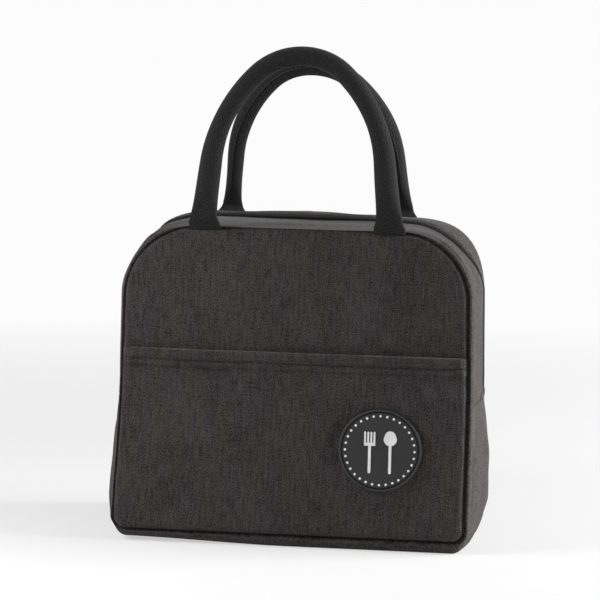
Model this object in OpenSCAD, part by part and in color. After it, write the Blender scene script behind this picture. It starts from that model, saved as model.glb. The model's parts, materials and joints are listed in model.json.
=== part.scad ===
// Insulated lunch tote: a padded fabric box on a D-shaped outline, closed by a
// zip that runs up one side, over the top and down the other, with two roped
// webbing handles, an open front pocket and a moulded badge.
//
// Frame: +Z up, front towards -Y, origin on the floor under the middle.
// The fabric panels are each one piece on the real bag. They are cut here at the
// fold line, because the mouth opens by bending them there.

/* [Panels] */
// Width of the front and back panels, seam to seam
panel_w = 226; // [150:1:320]
// Height of the front and back panels, seam to seam
panel_h = 201; // [150:1:300]
// Radius of the panels' top corners
top_r = 45; // [20:1:60]
// Radius of the panels' bottom corners
bottom_r = 12; // [10:1:30]
// Depth of the bag, outer face to outer face
bag_d = 130; // [90:1:200]
// How far the gusset swells beyond the panels' seam
puff = 8; // [7:0.5:14]
// Height of the side seams, where the mouth folds, above the panels' bottom seam
side_seam_h = 89; // [50:1:120]

/* [Layers] */
// Thickness of the outer fabric
fabric_t = 1.2; // [0.6:0.1:2]
// Thickness of the foam padding
foam_t = 4; // [2:0.5:5]
// Thickness of the foil lining
lining_t = 0.6; // [0.3:0.1:1]
// Gap left between the two sides of a fold or side seam
fold_gap = 0.4; // [0.2:0.1:1]

/* [Seam binding] */
// Width of the binding tape over the raw edges inside
binding_w = 9; // [5:0.5:9.5]
// Thickness of the bound edge
binding_t = 2.4; // [1:0.1:3]

/* [Pocket] */
// Height of the pocket's top edge above the panels' bottom seam
pocket_h = 120; // [110:1:145]
// Depth of the folded hem along the pocket's top edge
hem_h = 11; // [6:1:20]

/* [Badge] */
// Diameter of the moulded badge
badge_d = 54; // [40:1:60]
// Distance of the badge's centre from the bag's middle
badge_x = 57; // [-75:1:75]
// Height of the badge's centre above the panels' bottom seam
badge_h = 59; // [35:1:60]
// Thickness of the badge's face
badge_t = 2.2; // [1.5:0.1:3]
// How far the badge's rim stands above its face
rim_t = 0.9; // [0.6:0.1:1.5]
// Width of the badge's rim
rim_w = 2.2; // [1.5:0.1:4]
// How far the white motif stands above the face
print_t = 0.5; // [0.2:0.1:0.8]
// Number of beads in the ring round the motif
bead_count = 32; // [16:1:40]

/* [Zip] */
// Width of the slot that shows the zip
zip_slot = 10; // [9.6:0.2:14]
// Width of each zip tape
tape_w = 14.5; // [10:0.5:18]
// Thickness of the zip tape
tape_t = 0.6; // [0.4:0.1:1]
// Width of each row of teeth
chain_w = 2.75; // [2:0.05:3]
// Thickness of the teeth above the tape
chain_t = 2.1; // [1.5:0.1:3]
// Length of the slider's body
slider_l = 11; // [9:0.5:14]
// Clearance between the slider and what it runs on
slider_gap = 0.3; // [0.2:0.05:0.4]
// Wall of the slider's plates and flanges
slider_wall = 1.2; // [1:0.1:1.3]
// Length of the pull tab beyond the slider's crown
pull_l = 22; // [12:1:30]
// Width of the pull tab
pull_w = 5.6; // [5.4:0.1:8]
// Thickness of the pull tab
pull_t = 1.1; // [0.8:0.1:1.2]

/* [Handles] */
// Distance between the centres of a handle's two ends
handle_spread = 119; // [90:1:124]
// Tilt of each leg towards the middle, in degrees
leg_tilt = 6.3; // [0:0.1:12]
// Height of the handle's fold above the top seam
fold_h = 5.5; // [4:0.5:9]
// Length of the straight leg, from its fold
leg_l = 36; // [28:1:60]
// Radius of the shoulder that follows the leg
shoulder_r = 92; // [50:1:140]
// Angle that the shoulder turns through
shoulder_turn = 39.5; // [20:0.5:50]
// Diameter of the roped part
handle_d = 12.4; // [10:0.2:16]
// Wall of the webbing sleeve
sleeve_t = 1.9; // [1.2:0.1:2.5]
// Width of the flattened end
end_w = 17; // [14:0.5:22]
// Thickness of the flattened end
end_t = 4.4; // [3:0.2:6]
// Lean of the back handle towards the front, in degrees
back_lean = 22; // [0:1:26]

/* [Hidden] */
$fn = 64;

// Colours
charcoal = "#3b393a";
webbing = "#1d1d1e";
zip_black = "#161617";
gunmetal = "#4a4b4e";
foam_white = "#e6e4dd";
foil = "#c9ccd0";
rubber = "#262729";
print_white = "#eeeeec";
rope_white = "#d8d5cc";

// Heights above the floor
bottom_seam = puff;
top_seam = bottom_seam + panel_h;
side_seam = bottom_seam + side_seam_h;
top_corner = top_seam - top_r;
bottom_corner = bottom_seam + bottom_r;

// Depths of the layers below the outer surface
foam_depth = fabric_t;
lining_depth = foam_depth + foam_t;
inside_depth = lining_depth + lining_t;
front_y = -bag_d / 2;
past = 1; // how far a cutting shape runs past what it cuts
binding_room = 0.3; // between the bindings of the panels and of the side seams

// Levels in front of the front panel
pocket_y = front_y - fabric_t;
badge_y = pocket_y - badge_t;

// Beads round the badge's edge
bead_d = 1.5;
bead_inset = 2.4; // from the rim to the beads' centres

// Fork and spoon, drawn for a badge of this diameter and scaled with it
motif_for = 54;
motif_apart = 13.2;
stem_w = 1.8;
stem_low = -14;
fork_neck = 3;
fork_w = 7.2;
fork_base_h = 2;
prong_w = 1.2;
prong_l = 7.5;
prong_pitch = 2;
bowl_h = 7.4;
bowl_r = 4.2;
bowl_tip_h = 9.2;
bowl_tip_r = 3.6;

// Zip levels, measured outwards from the panels' seam
tape_top = puff - fabric_t;
tape_under = tape_top - tape_t;
teeth_top = tape_top + chain_t;
tape_gap = 1.5; // from the middle to the tape's edge
teeth_gap = 0.15; // from the middle to each row of teeth
foam_back_off = 1; // the foam stops this far short of the slot's edge
tape_room = 0.2; // room round the tape in the foam

// Slider: its plates, flanges, post and crown
flange_in = teeth_gap + chain_w + slider_gap;
slider_w = 2 * (flange_in + slider_wall);
plate_in = teeth_top + slider_gap;
plate_out = plate_in + slider_wall;
keel_out = tape_under - tape_room;
keel_in = keel_out - slider_wall;
post_w = 1.6;
post_l = 2.4;
stop_l = 2;
stop_w = 1.9;
stop_gap = 0.5;
slider_z = side_seam + stop_gap * 2 + stop_l + slider_l / 2;
crown_w = 2.4;
crown_l = 7;
crown_t = 0.8;
bar_r = 0.65;
bar_room = 0.15;
bar_out = plate_out + bar_room + bar_r;
crown_in = bar_out + bar_r + bar_room;
arm_w = 1.1;
arm_gap = 0.3;
tab_start = crown_l / 2 + 1.4;

// Handle arch, in its own plane with the fold at height 0
handle_x = handle_spread / 2;
fold_room = 0.4; // between the fold and what it turns beside
tail_t = 1.6;
fold_y = bag_d / 2 + tail_t + fold_room + end_t / 2;
fold_z = top_seam + fold_h;
flat_l = 8; // flat part of each end
round_from = 11; // first section past the flat part
round_l = 22; // where the end has become round
flat_power = 5; // how square the flat end's section is, where 2 is an ellipse
rope_room = 0.3;
slit_turn = 5; // half the angle left open where the webbing's edges meet
shoulder_start = [handle_x - leg_l * sin(leg_tilt), leg_l * cos(leg_tilt)];
shoulder_c = shoulder_start - shoulder_r * [cos(leg_tilt), sin(leg_tilt)];
crown_start = leg_tilt + shoulder_turn;
shoulder_end = shoulder_c + shoulder_r * [cos(crown_start), sin(crown_start)];
crown_r = shoulder_end[0] / cos(crown_start);
crown_c = [0, shoulder_end[1] - crown_r * sin(crown_start)];

// Height of the panels' top seam at x, which drops away round the corners.
function seam_z(x) =
    let (over = max(0, abs(x) - (panel_w / 2 - top_r)))
    top_corner + sqrt(top_r * top_r - over * over);

tail_low = seam_z(handle_x + end_w / 2) - tail_t;

// ---- Helpers ----

module both_sides() {
    children();
    mirror([1, 0, 0]) children();
}

module at_back() {
    mirror([0, 1, 0]) children();
}

// Stands a drawing of X and Z up as a plate whose outer face lies depth behind the front.
module plate(depth, thickness) {
    translate([0, front_y + depth + thickness, 0])
        rotate([90, 0, 0])
            linear_extrude(thickness) children();
}

// The D-shaped outline of the front and back panels.
module panel_outline() {
    translate([-panel_w / 2, bottom_corner])
        square([panel_w, top_corner - bottom_corner]);
    translate([-panel_w / 2 + top_r, bottom_corner])
        square([panel_w - 2 * top_r, top_seam - bottom_corner]);
    translate([-panel_w / 2 + bottom_r, bottom_seam])
        square([panel_w - 2 * bottom_r, top_corner - bottom_seam]);
    for (side = [-1, 1]) {
        translate([side * (panel_w / 2 - top_r), top_corner]) circle(top_r);
        translate([side * (panel_w / 2 - bottom_r), bottom_corner]) circle(bottom_r);
    }
}

// Keeps what is above the fold of the panels.
module above_fold(top = top_seam + past) {
    intersection() {
        children();
        translate([-panel_w, side_seam + fold_gap / 2])
            square([2 * panel_w, top - side_seam - fold_gap / 2]);
    }
}

// Keeps what is below the fold of the panels.
module below_fold() {
    intersection() {
        children();
        translate([-panel_w, -past])
            square([2 * panel_w, side_seam - fold_gap / 2 + past]);
    }
}

// The inside of the gusset's cross-section, sunk by depth: X runs outwards from the
// panels' seam and Y runs through the bag.
module swell(depth, from = 0) {
    middle = bag_d / 2 - puff;
    intersection() {
        union() {
            translate([from, -middle]) square([puff - depth - from, 2 * middle]);
            for (side = [-1, 1])
                translate([0, side * middle]) circle(puff - depth);
        }
        translate([from, -bag_d]) square([puff - from + past, 2 * bag_d]);
    }
}

module gusset_layer(depth, thickness) {
    difference() {
        swell(depth);
        swell(depth + thickness, -puff);
        // the layer ends square on the seam
        translate([-past, -bag_d / 2 + depth + thickness])
            square([past, bag_d - 2 * (depth + thickness)]);
    }
}

// Keeps the part of a cross-section in front of the zip slot.
module front_of_slot(edge) {
    intersection() {
        children();
        translate([-panel_w, -bag_d]) square([2 * panel_w, bag_d - edge]);
    }
}

// Carries a cross-section up from the side seam and over the top.
module upper_run(start = side_seam + fold_gap / 2) {
    both_sides() {
        translate([panel_w / 2, 0, start])
            linear_extrude(top_corner - start) children();
        translate([panel_w / 2 - top_r, 0, top_corner])
            rotate([-90, 0, 0])
                rotate([0, 0, -90])
                    rotate_extrude(angle = 90) translate([top_r, 0]) children();
        translate([panel_w / 2 - top_r, 0, top_seam])
            rotate([0, -90, 0])
                linear_extrude(panel_w / 2 - top_r) children();
    }
}

// Carries a cross-section down from the side seam and under the bottom.
module lower_run() {
    both_sides() {
        translate([panel_w / 2, 0, bottom_corner])
            linear_extrude(side_seam - fold_gap / 2 - bottom_corner) children();
        translate([panel_w / 2 - bottom_r, 0, bottom_corner])
            rotate([-90, 0, 0])
                rotate_extrude(angle = 90) translate([bottom_r, 0]) children();
        translate([0, 0, bottom_seam])
            rotate([0, 90, 0])
                linear_extrude(panel_w / 2 - bottom_r) children();
    }
}

// ---- Panels, foam and lining of the front and back ----

// Where the handles' ends pass through the top seam.
module tail_places() {
    both_sides()
        translate([handle_x - end_w / 2, tail_low]) square([end_w, top_seam - tail_low]);
}

module upper_plate(depth, thickness) {
    plate(depth, thickness) difference() {
        above_fold() panel_outline();
        tail_places();
    }
}

module lower_plate(depth, thickness) {
    plate(depth, thickness) below_fold() panel_outline();
}

module panel_lower() { color(charcoal) lower_plate(0, fabric_t); }
module panel_upper() { color(charcoal) upper_plate(0, fabric_t); }
module foam_lower() { color(foam_white) lower_plate(foam_depth, foam_t); }
module foam_upper() { color(foam_white) upper_plate(foam_depth, foam_t); }
module lining_lower() { color(foil) lower_plate(lining_depth, lining_t); }
module lining_upper() { color(foil) upper_plate(lining_depth, lining_t); }

// ---- Pocket and badge ----

module pocket_lower() {
    color(charcoal) plate(-fabric_t, fabric_t) below_fold() panel_outline();
}

module pocket_upper() {
    pocket_top = bottom_seam + pocket_h;
    color(charcoal) {
        plate(-fabric_t, fabric_t) above_fold(pocket_top) panel_outline();
        plate(-2 * fabric_t, fabric_t)
            intersection() {
                panel_outline();
                translate([-panel_w, pocket_top - hem_h]) square([2 * panel_w, hem_h]);
            }
    }
}

// Lays a drawing of X and Z flat on the badge, its back at distance y.
module on_badge(y, thickness) {
    translate([badge_x, y, bottom_seam + badge_h])
        rotate([90, 0, 0])
            linear_extrude(thickness) children();
}

module badge() {
    color(rubber) {
        on_badge(pocket_y, badge_t) circle(d = badge_d);
        on_badge(badge_y, rim_t) difference() {
            circle(d = badge_d);
            circle(d = badge_d - 2 * rim_w);
        }
    }
}

module stem(top) {
    translate([-stem_w / 2, stem_low]) square([stem_w, top - stem_low]);
    translate([0, stem_low]) circle(d = stem_w);
}

module fork_motif() {
    stem(fork_neck);
    translate([-fork_w / 2, fork_neck]) square([fork_w, fork_base_h]);
    for (prong = [-1.5 : 1 : 1.5])
        translate([prong * prong_pitch - prong_w / 2, fork_neck + fork_base_h / 2]) {
            square([prong_w, prong_l]);
            translate([prong_w / 2, prong_l]) circle(d = prong_w);
        }
}

module spoon_motif() {
    stem(bowl_h - bowl_r / 2);
    translate([0, bowl_h]) circle(bowl_r);
    translate([0, bowl_tip_h]) circle(bowl_tip_r);
}

module badge_print() {
    bead_r = badge_d / 2 - rim_w - bead_inset;
    color(print_white) on_badge(badge_y, print_t) {
        for (n = [0 : bead_count - 1])
            rotate(n * 360 / bead_count) translate([bead_r, 0]) circle(d = bead_d);
        scale(badge_d / motif_for) {
            translate([-motif_apart / 2, 0]) fork_motif();
            translate([motif_apart / 2, 0]) spoon_motif();
        }
    }
}

// ---- Gussets ----

module lower_gusset() { color(charcoal) lower_run() gusset_layer(0, fabric_t); }
module lower_gusset_foam() { color(foam_white) lower_run() gusset_layer(foam_depth, foam_t); }
module lower_gusset_lining() { color(foil) lower_run() gusset_layer(lining_depth, lining_t); }

module front_gusset() {
    color(charcoal) upper_run() front_of_slot(zip_slot / 2) gusset_layer(0, fabric_t);
}

module front_gusset_foam() {
    color(foam_white) upper_run() difference() {
        front_of_slot(zip_slot / 2 + foam_back_off) gusset_layer(foam_depth, foam_t);
        translate([tape_under - tape_room, -tape_gap - tape_w - tape_room])
            square([puff, tape_w + tape_gap + tape_room]);
    }
}

module front_gusset_lining() {
    color(foil) upper_run() front_of_slot(zip_slot / 2) gusset_layer(lining_depth, lining_t);
}

// ---- Seam binding ----

module binding_section() {
    translate([-binding_w, front_y + inside_depth]) square([binding_w, binding_t]);
}

module binding_lower() { color(webbing) lower_run() binding_section(); }
module binding_upper() { color(webbing) upper_run() binding_section(); }

module side_bindings() {
    // stops short of the panels' bindings and of the lining's rounded edges
    run = bag_d - 2 * max(puff, inside_depth + binding_t + binding_room);
    inner_x = panel_w / 2 + puff - inside_depth - binding_t;
    color(webbing) both_sides()
        translate([inner_x, -run / 2, side_seam - fold_gap / 2 - binding_w])
            cube([binding_t, run, binding_w]);
}

// ---- Zip ----

module zip_tape() {
    color(zip_black) upper_run()
        translate([tape_under, -tape_gap - tape_w]) square([tape_t, tape_w]);
}

module zip_teeth() {
    color(zip_black) difference() {
        upper_run(side_seam + 2 * stop_gap + stop_l)
            translate([tape_top, -teeth_gap - chain_w]) square([chain_t, chain_w]);
        // on the closed side the teeth end inside the slider, short of its post
        translate([-panel_w / 2 - teeth_top - past, -bag_d / 2, 0])
            cube([chain_t + 2 * past, bag_d, slider_z - slider_l / 2 + post_l + 2 * stop_gap]);
    }
}

module zip_stops() {
    stop_z = side_seam + stop_gap;
    color(gunmetal) {
        // two clips past the closed end of the slider
        for (side = [-1, 1])
            translate([-panel_w / 2 - teeth_top, side * (tape_gap + stop_w / 2) - stop_w / 2, stop_z])
                cube([chain_t, stop_w, stop_l]);
        // one clip across both tapes at the open end
        translate([panel_w / 2 + tape_top, -tape_gap - stop_w, stop_z])
            cube([chain_t, 2 * (tape_gap + stop_w), stop_l]);
    }
}

// A block that starts at X = 0 and is centred on Y and Z.
module centred_x(size) {
    translate([0, -size[1] / 2, -size[2] / 2]) cube(size);
}

// Places the slider's own frame on the zip: X outwards, Z along the teeth.
module on_left_leg() {
    translate([-panel_w / 2, 0, slider_z]) mirror([1, 0, 0]) children();
}

module slider_plate(low, high) {
    nose_r = slider_w / 2;
    translate([low, 0, 0]) rotate([90, 0, 90]) linear_extrude(high - low) {
        translate([-nose_r, -slider_l / 2 + nose_r]) square([slider_w, slider_l - nose_r]);
        translate([0, -slider_l / 2 + nose_r]) circle(nose_r);
    }
}

module zip_slider() {
    flange_l = slider_l - slider_w / 2;
    flange_x = tape_top + tape_room;
    color(gunmetal) on_left_leg() {
        slider_plate(plate_in, plate_out);
        slider_plate(keel_in, keel_out);
        // flanges that hold the teeth from both sides
        for (side = [-1, 1])
            translate([flange_x, side * (flange_in + slider_wall / 2), slider_l / 2 - flange_l / 2])
                centred_x([plate_out - flange_x, slider_wall, flange_l]);
        // post between the plates
        translate([keel_out - tape_room, -post_w / 2, -slider_l / 2 + stop_gap])
            cube([plate_in - keel_out + 2 * tape_room, post_w, post_l]);
        // crown that carries the pull
        for (end = [-1, 1])
            translate([plate_out - tape_room, -crown_w / 2, end * (crown_l + crown_t) / 2 - crown_t / 2])
                cube([crown_in - plate_out + tape_room + crown_t, crown_w, crown_t]);
        translate([crown_in, -crown_w / 2, -crown_l / 2 - crown_t])
            cube([crown_t, crown_w, crown_l + 2 * crown_t]);
    }
}

module zip_pull() {
    tab_end = tab_start + pull_l;
    arm_y = crown_w / 2 + arm_gap;
    color(gunmetal) on_left_leg() {
        translate([bar_out, -arm_y - arm_w, 0])
            rotate([-90, 0, 0]) cylinder(r = bar_r, h = 2 * (arm_y + arm_w));
        for (side = [-1, 1])
            translate([bar_out - pull_t / 2, side * (arm_y + arm_w / 2) - arm_w / 2, -tab_start - past])
                cube([pull_t, arm_w, tab_start + past]);
        translate([bar_out - pull_t / 2, 0, 0]) rotate([90, 0, 90]) linear_extrude(pull_t)
            difference() {
                union() {
                    translate([-pull_w / 2, -tab_end + pull_w / 2])
                        square([pull_w, tab_end - tab_start - pull_w / 2]);
                    translate([0, -tab_end + pull_w / 2]) circle(pull_w / 2);
                }
                translate([0, -tab_end + pull_w / 2]) circle(pull_w / 4);
            }
    }
}

// ---- Handles ----

// Share of the way from a flat end, 0, to the round part, 1, at s along the leg.
function rounded(s) =
    let (t = min(1, max(0, (s - flat_l) / (round_l - flat_l))))
    t * t * (3 - 2 * t);

// A station on the arch: centre X and Z, turn of the section, and how round it is.
function leg_station(s) = [
    handle_x - s * sin(leg_tilt), s * cos(leg_tilt), leg_tilt * rounded(s), rounded(s)
];
function arc_station(c, r, a) = [c[0] + r * cos(a), c[1] + r * sin(a), a, 1];

function right_half(start, leg_steps, shoulder_steps, crown_steps) = [
    for (k = [0 : leg_steps - 1]) leg_station(start + (leg_l - start) * k / leg_steps),
    for (k = [0 : shoulder_steps - 1])
        arc_station(shoulder_c, shoulder_r, leg_tilt + shoulder_turn * k / shoulder_steps),
    for (k = [0 : crown_steps])
        arc_station(crown_c, crown_r, crown_start + (90 - crown_start) * k / crown_steps)
];

// The whole arch: the right half up to the crown, then its mirror image down again.
function whole_arch(half) = concat(
    half,
    [for (k = [len(half) - 2 : -1 : 0]) [-half[k][0], half[k][1], 180 - half[k][2], half[k][3]]]
);

function bulged(value, power) = sign(value) * pow(abs(value), 2 / power);
function oval(half_w, half_t, power, a) = [
    half_w * bulged(cos(a), power), half_t * bulged(sin(a), power)
];

// The sleeve's section at a station, sunk by wall and thinned by a share: an open loop.
function sleeve_loop(station, wall, steps, thin) =
    let (
        round = station[3],
        half_w = end_w / 2 + (handle_d / 2 - end_w / 2) * round - wall,
        half_t = (end_t / 2 + (handle_d / 2 - end_t / 2) * round) * thin - wall * min(1, thin),
        power = flat_power + (2 - flat_power) * round,
        open = 180 - slit_turn
    )
    [for (k = [0 : steps]) oval(half_w, half_t, power, -open + 2 * open * k / steps)];

function reversed(list) = [for (k = [len(list) - 1 : -1 : 0]) list[k]];

// Puts a section's point in space: across the arch, along Y, and up.
function on_station(station, point) = [
    station[0] + point[0] * cos(station[2]),
    point[1],
    station[1] + point[0] * sin(station[2])
];

// Skins a tube over a list of loops, each with the same number of points.
module skin(loops) {
    count = len(loops[0]);
    last = len(loops) - 1;
    polyhedron(
        points = [for (loop = loops) each loop],
        faces = [
            [for (k = [0 : count - 1]) k],
            for (n = [0 : last - 1], k = [0 : count - 1])
                let (a = n * count + k, b = n * count + (k + 1) % count)
                each [[a, a + count, b], [b, a + count, b + count]],
            [for (k = [count - 1 : -1 : 0]) last * count + k]
        ]
    );
}

// Places the arch on its fold, turned towards the bag's middle by lean.
module place_handle(lean) {
    translate([0, -fold_y, fold_z]) rotate([-lean, 0, 0]) children();
}

module handle(lean) {
    outer_steps = 14;
    inner_steps = 12;
    // stations below the fold's centre round its edge off, so that it can turn
    bottom = [
        for (a = [75, 50, 25]) [handle_x, -end_t / 2 * sin(a), 0, 0, cos(a)],
        for (s = [0, flat_l]) concat(leg_station(s), [1])
    ];
    run = [for (st = whole_arch(right_half(round_from, 6, 5, 5))) concat(st, [1])];
    other = [for (st = reversed(bottom)) [-st[0], st[1], 180 - st[2], st[3], st[4]]];
    stations = concat(bottom, run, other);
    color(webbing) place_handle(lean) skin([
        for (st = stations) [
            for (p = sleeve_loop(st, 0, outer_steps, st[4])) on_station(st, p),
            for (p = reversed(sleeve_loop(st, sleeve_t, inner_steps, st[4]))) on_station(st, p)
        ]
    ]);
}

module handle_rope(lean) {
    sides = 12;
    rope_r = handle_d / 2 - sleeve_t - rope_room;
    color(rope_white) place_handle(lean) skin([
        for (st = whole_arch(right_half(round_l, 2, 5, 5))) [
            for (k = [0 : sides - 1]) on_station(st, oval(rope_r, rope_r, 2, 360 * k / sides))
        ]
    ]);
}

// The webbing's ends: sewn into the top seam, then turned up to the handle's fold.
module handle_tails() {
    stub_top = fold_z - end_t / 2 - fold_room;
    color(webbing) {
        plate(0, inside_depth) intersection() {
            panel_outline();
            tail_places();
        }
        both_sides()
            translate([handle_x - end_w / 2, front_y - tail_t, tail_low])
                cube([end_w, tail_t, stub_top - tail_low]);
    }
}

// ---- Nodes ----

panel_lower();  // front_panel_lower
panel_upper();  // front_panel_upper
foam_lower();  // front_foam_lower
foam_upper();  // front_foam_upper
lining_lower();  // front_lining_lower
lining_upper();  // front_lining_upper
pocket_lower();
pocket_upper();
badge();
badge_print();
at_back() panel_lower();  // back_panel_lower
at_back() panel_upper();  // back_panel_upper
at_back() foam_lower();  // back_foam_lower
at_back() foam_upper();  // back_foam_upper
at_back() lining_lower();  // back_lining_lower
at_back() lining_upper();  // back_lining_upper
lower_gusset();
lower_gusset_foam();
lower_gusset_lining();
front_gusset();
front_gusset_foam();
front_gusset_lining();
at_back() front_gusset();  // back_gusset
at_back() front_gusset_foam();  // back_gusset_foam
at_back() front_gusset_lining();  // back_gusset_lining
binding_lower();  // front_binding_lower
binding_upper();  // front_binding_upper
at_back() binding_lower();  // back_binding_lower
at_back() binding_upper();  // back_binding_upper
side_bindings();
zip_tape();  // front_zip_tape
at_back() zip_tape();  // back_zip_tape
zip_teeth();  // front_zip_teeth
at_back() zip_teeth();  // back_zip_teeth
zip_stops();
zip_slider();
zip_pull();
handle(0);  // front_handle
handle_rope(0);  // front_handle_rope
handle_tails();  // front_handle_tails
at_back() handle(back_lean);  // back_handle
at_back() handle_rope(back_lean);  // back_handle_rope
at_back() handle_tails();  // back_handle_tails
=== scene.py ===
# %% [markdown]
# # A soft insulated lunch tote, built in cells
# The bag is a padded fabric box on a D-shaped outline. Two flat panels face front and back, and
# long strips, called gussets, run round between them. Each wall is three layers sewn as one:
# outer cloth, foam and a foil lining. A zip opens the top, two roped webbing handles come out of
# the top seams, and a pocket with a moulded badge sits low on the front.
#
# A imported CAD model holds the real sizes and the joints. This script loads it as a fixed frame
# and dresses it: every soft part is worked out again here as a smooth surface with its folds,
# seams and stitches, and every surface gets a material made of shader nodes.
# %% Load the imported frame
import json
import math

import bpy
import numpy as np
from mathutils import Matrix, Vector


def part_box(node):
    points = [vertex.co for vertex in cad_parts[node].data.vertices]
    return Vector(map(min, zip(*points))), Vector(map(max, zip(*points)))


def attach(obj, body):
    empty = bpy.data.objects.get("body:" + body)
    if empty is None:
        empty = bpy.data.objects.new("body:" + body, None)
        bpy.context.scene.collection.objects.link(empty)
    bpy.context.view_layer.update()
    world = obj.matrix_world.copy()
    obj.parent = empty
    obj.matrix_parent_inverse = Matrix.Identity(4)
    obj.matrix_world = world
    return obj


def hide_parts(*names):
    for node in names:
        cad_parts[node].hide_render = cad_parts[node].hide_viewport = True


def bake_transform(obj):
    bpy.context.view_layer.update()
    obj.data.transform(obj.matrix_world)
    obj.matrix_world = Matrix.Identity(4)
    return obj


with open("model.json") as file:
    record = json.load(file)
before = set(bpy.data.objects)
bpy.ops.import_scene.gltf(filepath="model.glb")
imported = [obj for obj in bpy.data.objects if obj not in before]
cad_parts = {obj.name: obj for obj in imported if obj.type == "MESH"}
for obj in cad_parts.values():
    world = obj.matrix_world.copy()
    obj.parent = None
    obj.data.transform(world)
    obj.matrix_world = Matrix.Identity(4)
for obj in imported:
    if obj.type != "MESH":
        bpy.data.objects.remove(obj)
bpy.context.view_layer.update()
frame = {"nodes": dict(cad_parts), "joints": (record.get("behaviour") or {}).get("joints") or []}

MM = 0.001

# %% [markdown]
# ## Read the sizes from the frame
# The boxes of the CAD nodes give the panels' outline, the fold line and the folds of the
# handles, so nothing has to be fitted later. Only what a box can't tell, such as the radius of
# a corner or the depth of a seam, is a value of its own here.
# %% Sizes of the bag
panel_low, fold_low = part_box("front_panel_lower")
fold_high, panel_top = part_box("front_panel_upper")
half_w = panel_top.x
seam_low, seam_top = panel_low.z, panel_top.z
face_y = -panel_low.y
fold_z = (fold_low.z + fold_high.z) / 2
pocket_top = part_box("pocket_upper")[1].z
strip_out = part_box("lower_gusset")[1].x - half_w
badge_low, badge_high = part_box("badge")
joints = {joint["name"]: joint for joint in frame["joints"]}

TOP_R_LEFT = 46.5 * MM
TOP_R_RIGHT = 44 * MM
BOTTOM_R = 8 * MM
CLOTH_T = 1.2 * MM
FOAM_T = 4.0 * MM
LINING_T = 0.6 * MM
print("panel", round(2 * half_w / MM), "x", round((seam_top - seam_low) / MM), "mm")

# %% [markdown]
# ## The camera
# The camera stands in front of the bag, a little to the right and a little above, with a long
# lens so that the lines hardly converge. A Track To constraint could aim it, but would hold it
# level. Its axes are written out as three vectors, because that keeps the roll of the view in
# one place.
# %% Make the camera
CAMERA_PLACE = Vector((0.1884, -1.6354, 0.3341))
CAMERA_TURN = math.radians(6.73)
CAMERA_DROP = math.radians(6.21)
CAMERA_ROLL = math.radians(1.20)
LENS_MM = 148.9

ahead = Vector((-math.sin(CAMERA_TURN) * math.cos(CAMERA_DROP),
                math.cos(CAMERA_TURN) * math.cos(CAMERA_DROP), -math.sin(CAMERA_DROP)))
level = Vector((math.cos(CAMERA_TURN), math.sin(CAMERA_TURN), 0))
upward = level.cross(ahead)
right = math.cos(CAMERA_ROLL) * level + math.sin(CAMERA_ROLL) * upward
upward = math.cos(CAMERA_ROLL) * upward - math.sin(CAMERA_ROLL) * level
camera = bpy.data.objects.new("camera", bpy.data.cameras.new("camera"))
camera.data.lens = LENS_MM
camera.matrix_world = (Matrix.Translation(CAMERA_PLACE)
                       @ Matrix((right, upward, -ahead)).transposed().to_4x4())
bpy.context.scene.collection.objects.link(camera)
bpy.context.scene.camera = camera

# %% [markdown]
# ## Turn grids of points into closed solids
# Every piece below is a grid of points that numpy works out in one go. Cloth has a thickness,
# so a piece takes two grids, its outer and its inner face, and a strip of faces along the
# border closes them. Blender's Solidify modifier could add the thickness too, but here the
# layers get thinner towards the seams, which is simpler to say with two grids.
# %% Grids, shells and tubes
def grid_quads(rows, cols):
    """The four-sided faces of a grid of points that are counted row by row."""
    index = np.arange(rows * cols).reshape(rows, cols)
    return np.stack([index[:-1, :-1], index[:-1, 1:], index[1:, 1:], index[1:, :-1]],
                    -1).reshape(-1, 4)


def shell(outer, inner, across, along):
    """A closed thin solid between two grids; across and along are the cloth's own measures."""
    rows, cols = outer.shape[:2]
    count = rows * cols
    quads = grid_quads(rows, cols)
    index = np.arange(count).reshape(rows, cols)
    edge = np.concatenate([index[0, :-1], index[:-1, -1], index[-1, :0:-1], index[:0:-1, 0]])
    after = np.roll(edge, -1)
    rim = np.stack([after, edge, edge + count, after + count], -1)
    faces = np.concatenate([quads, quads[:, ::-1] + count, rim])
    across, along = np.broadcast_arrays(across, along)
    marks = np.stack([across, along], -1).reshape(-1, 2)
    points = np.concatenate([outer.reshape(-1, 3), inner.reshape(-1, 3)])
    return points, faces, np.concatenate([marks, marks])[faces]


def tube(rings, along, around, closed=False):
    """A tube through rings of an even number of points. Its ends are shut by a ladder of quads
    from side to side, unless it is closed into a ring."""
    count, sides = rings.shape[:2]
    row = np.arange(count if closed else count - 1)[:, None]
    col = np.arange(sides)[None, :]
    row_next, col_next = (row + 1) % count, (col + 1) % sides
    faces = np.stack([row * sides + col, row * sides + col_next,
                      row_next * sides + col_next, row_next * sides + col], -1).reshape(-1, 4)
    u = np.append(along, along[-1] + np.abs(along[1] - along[0]))
    v = np.append(around, around[-1] + around[1] - around[0])
    u_here, u_next = u[row] + 0 * col, u[row + 1] + 0 * col
    v_here, v_next = v[col] + 0 * row, v[col + 1] + 0 * row
    marks = np.stack([np.stack([u_here, v_here], -1), np.stack([u_here, v_next], -1),
                      np.stack([u_next, v_next], -1), np.stack([u_next, v_here], -1)],
                     2).reshape(-1, 4, 2)
    points = rings.reshape(-1, 3)
    if closed:
        return points, faces, marks
    step = np.arange(sides // 2 - 1)
    ladder = np.stack([step, step + 1, sides - 2 - step, sides - 1 - step], -1)
    caps = np.concatenate([ladder, ladder[:, ::-1] + (count - 1) * sides])[:, ::-1]
    cap_marks = np.stack([u[caps // sides], v[caps % sides]], -1)
    return points, np.concatenate([faces, caps]), np.concatenate([marks, cap_marks])


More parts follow.
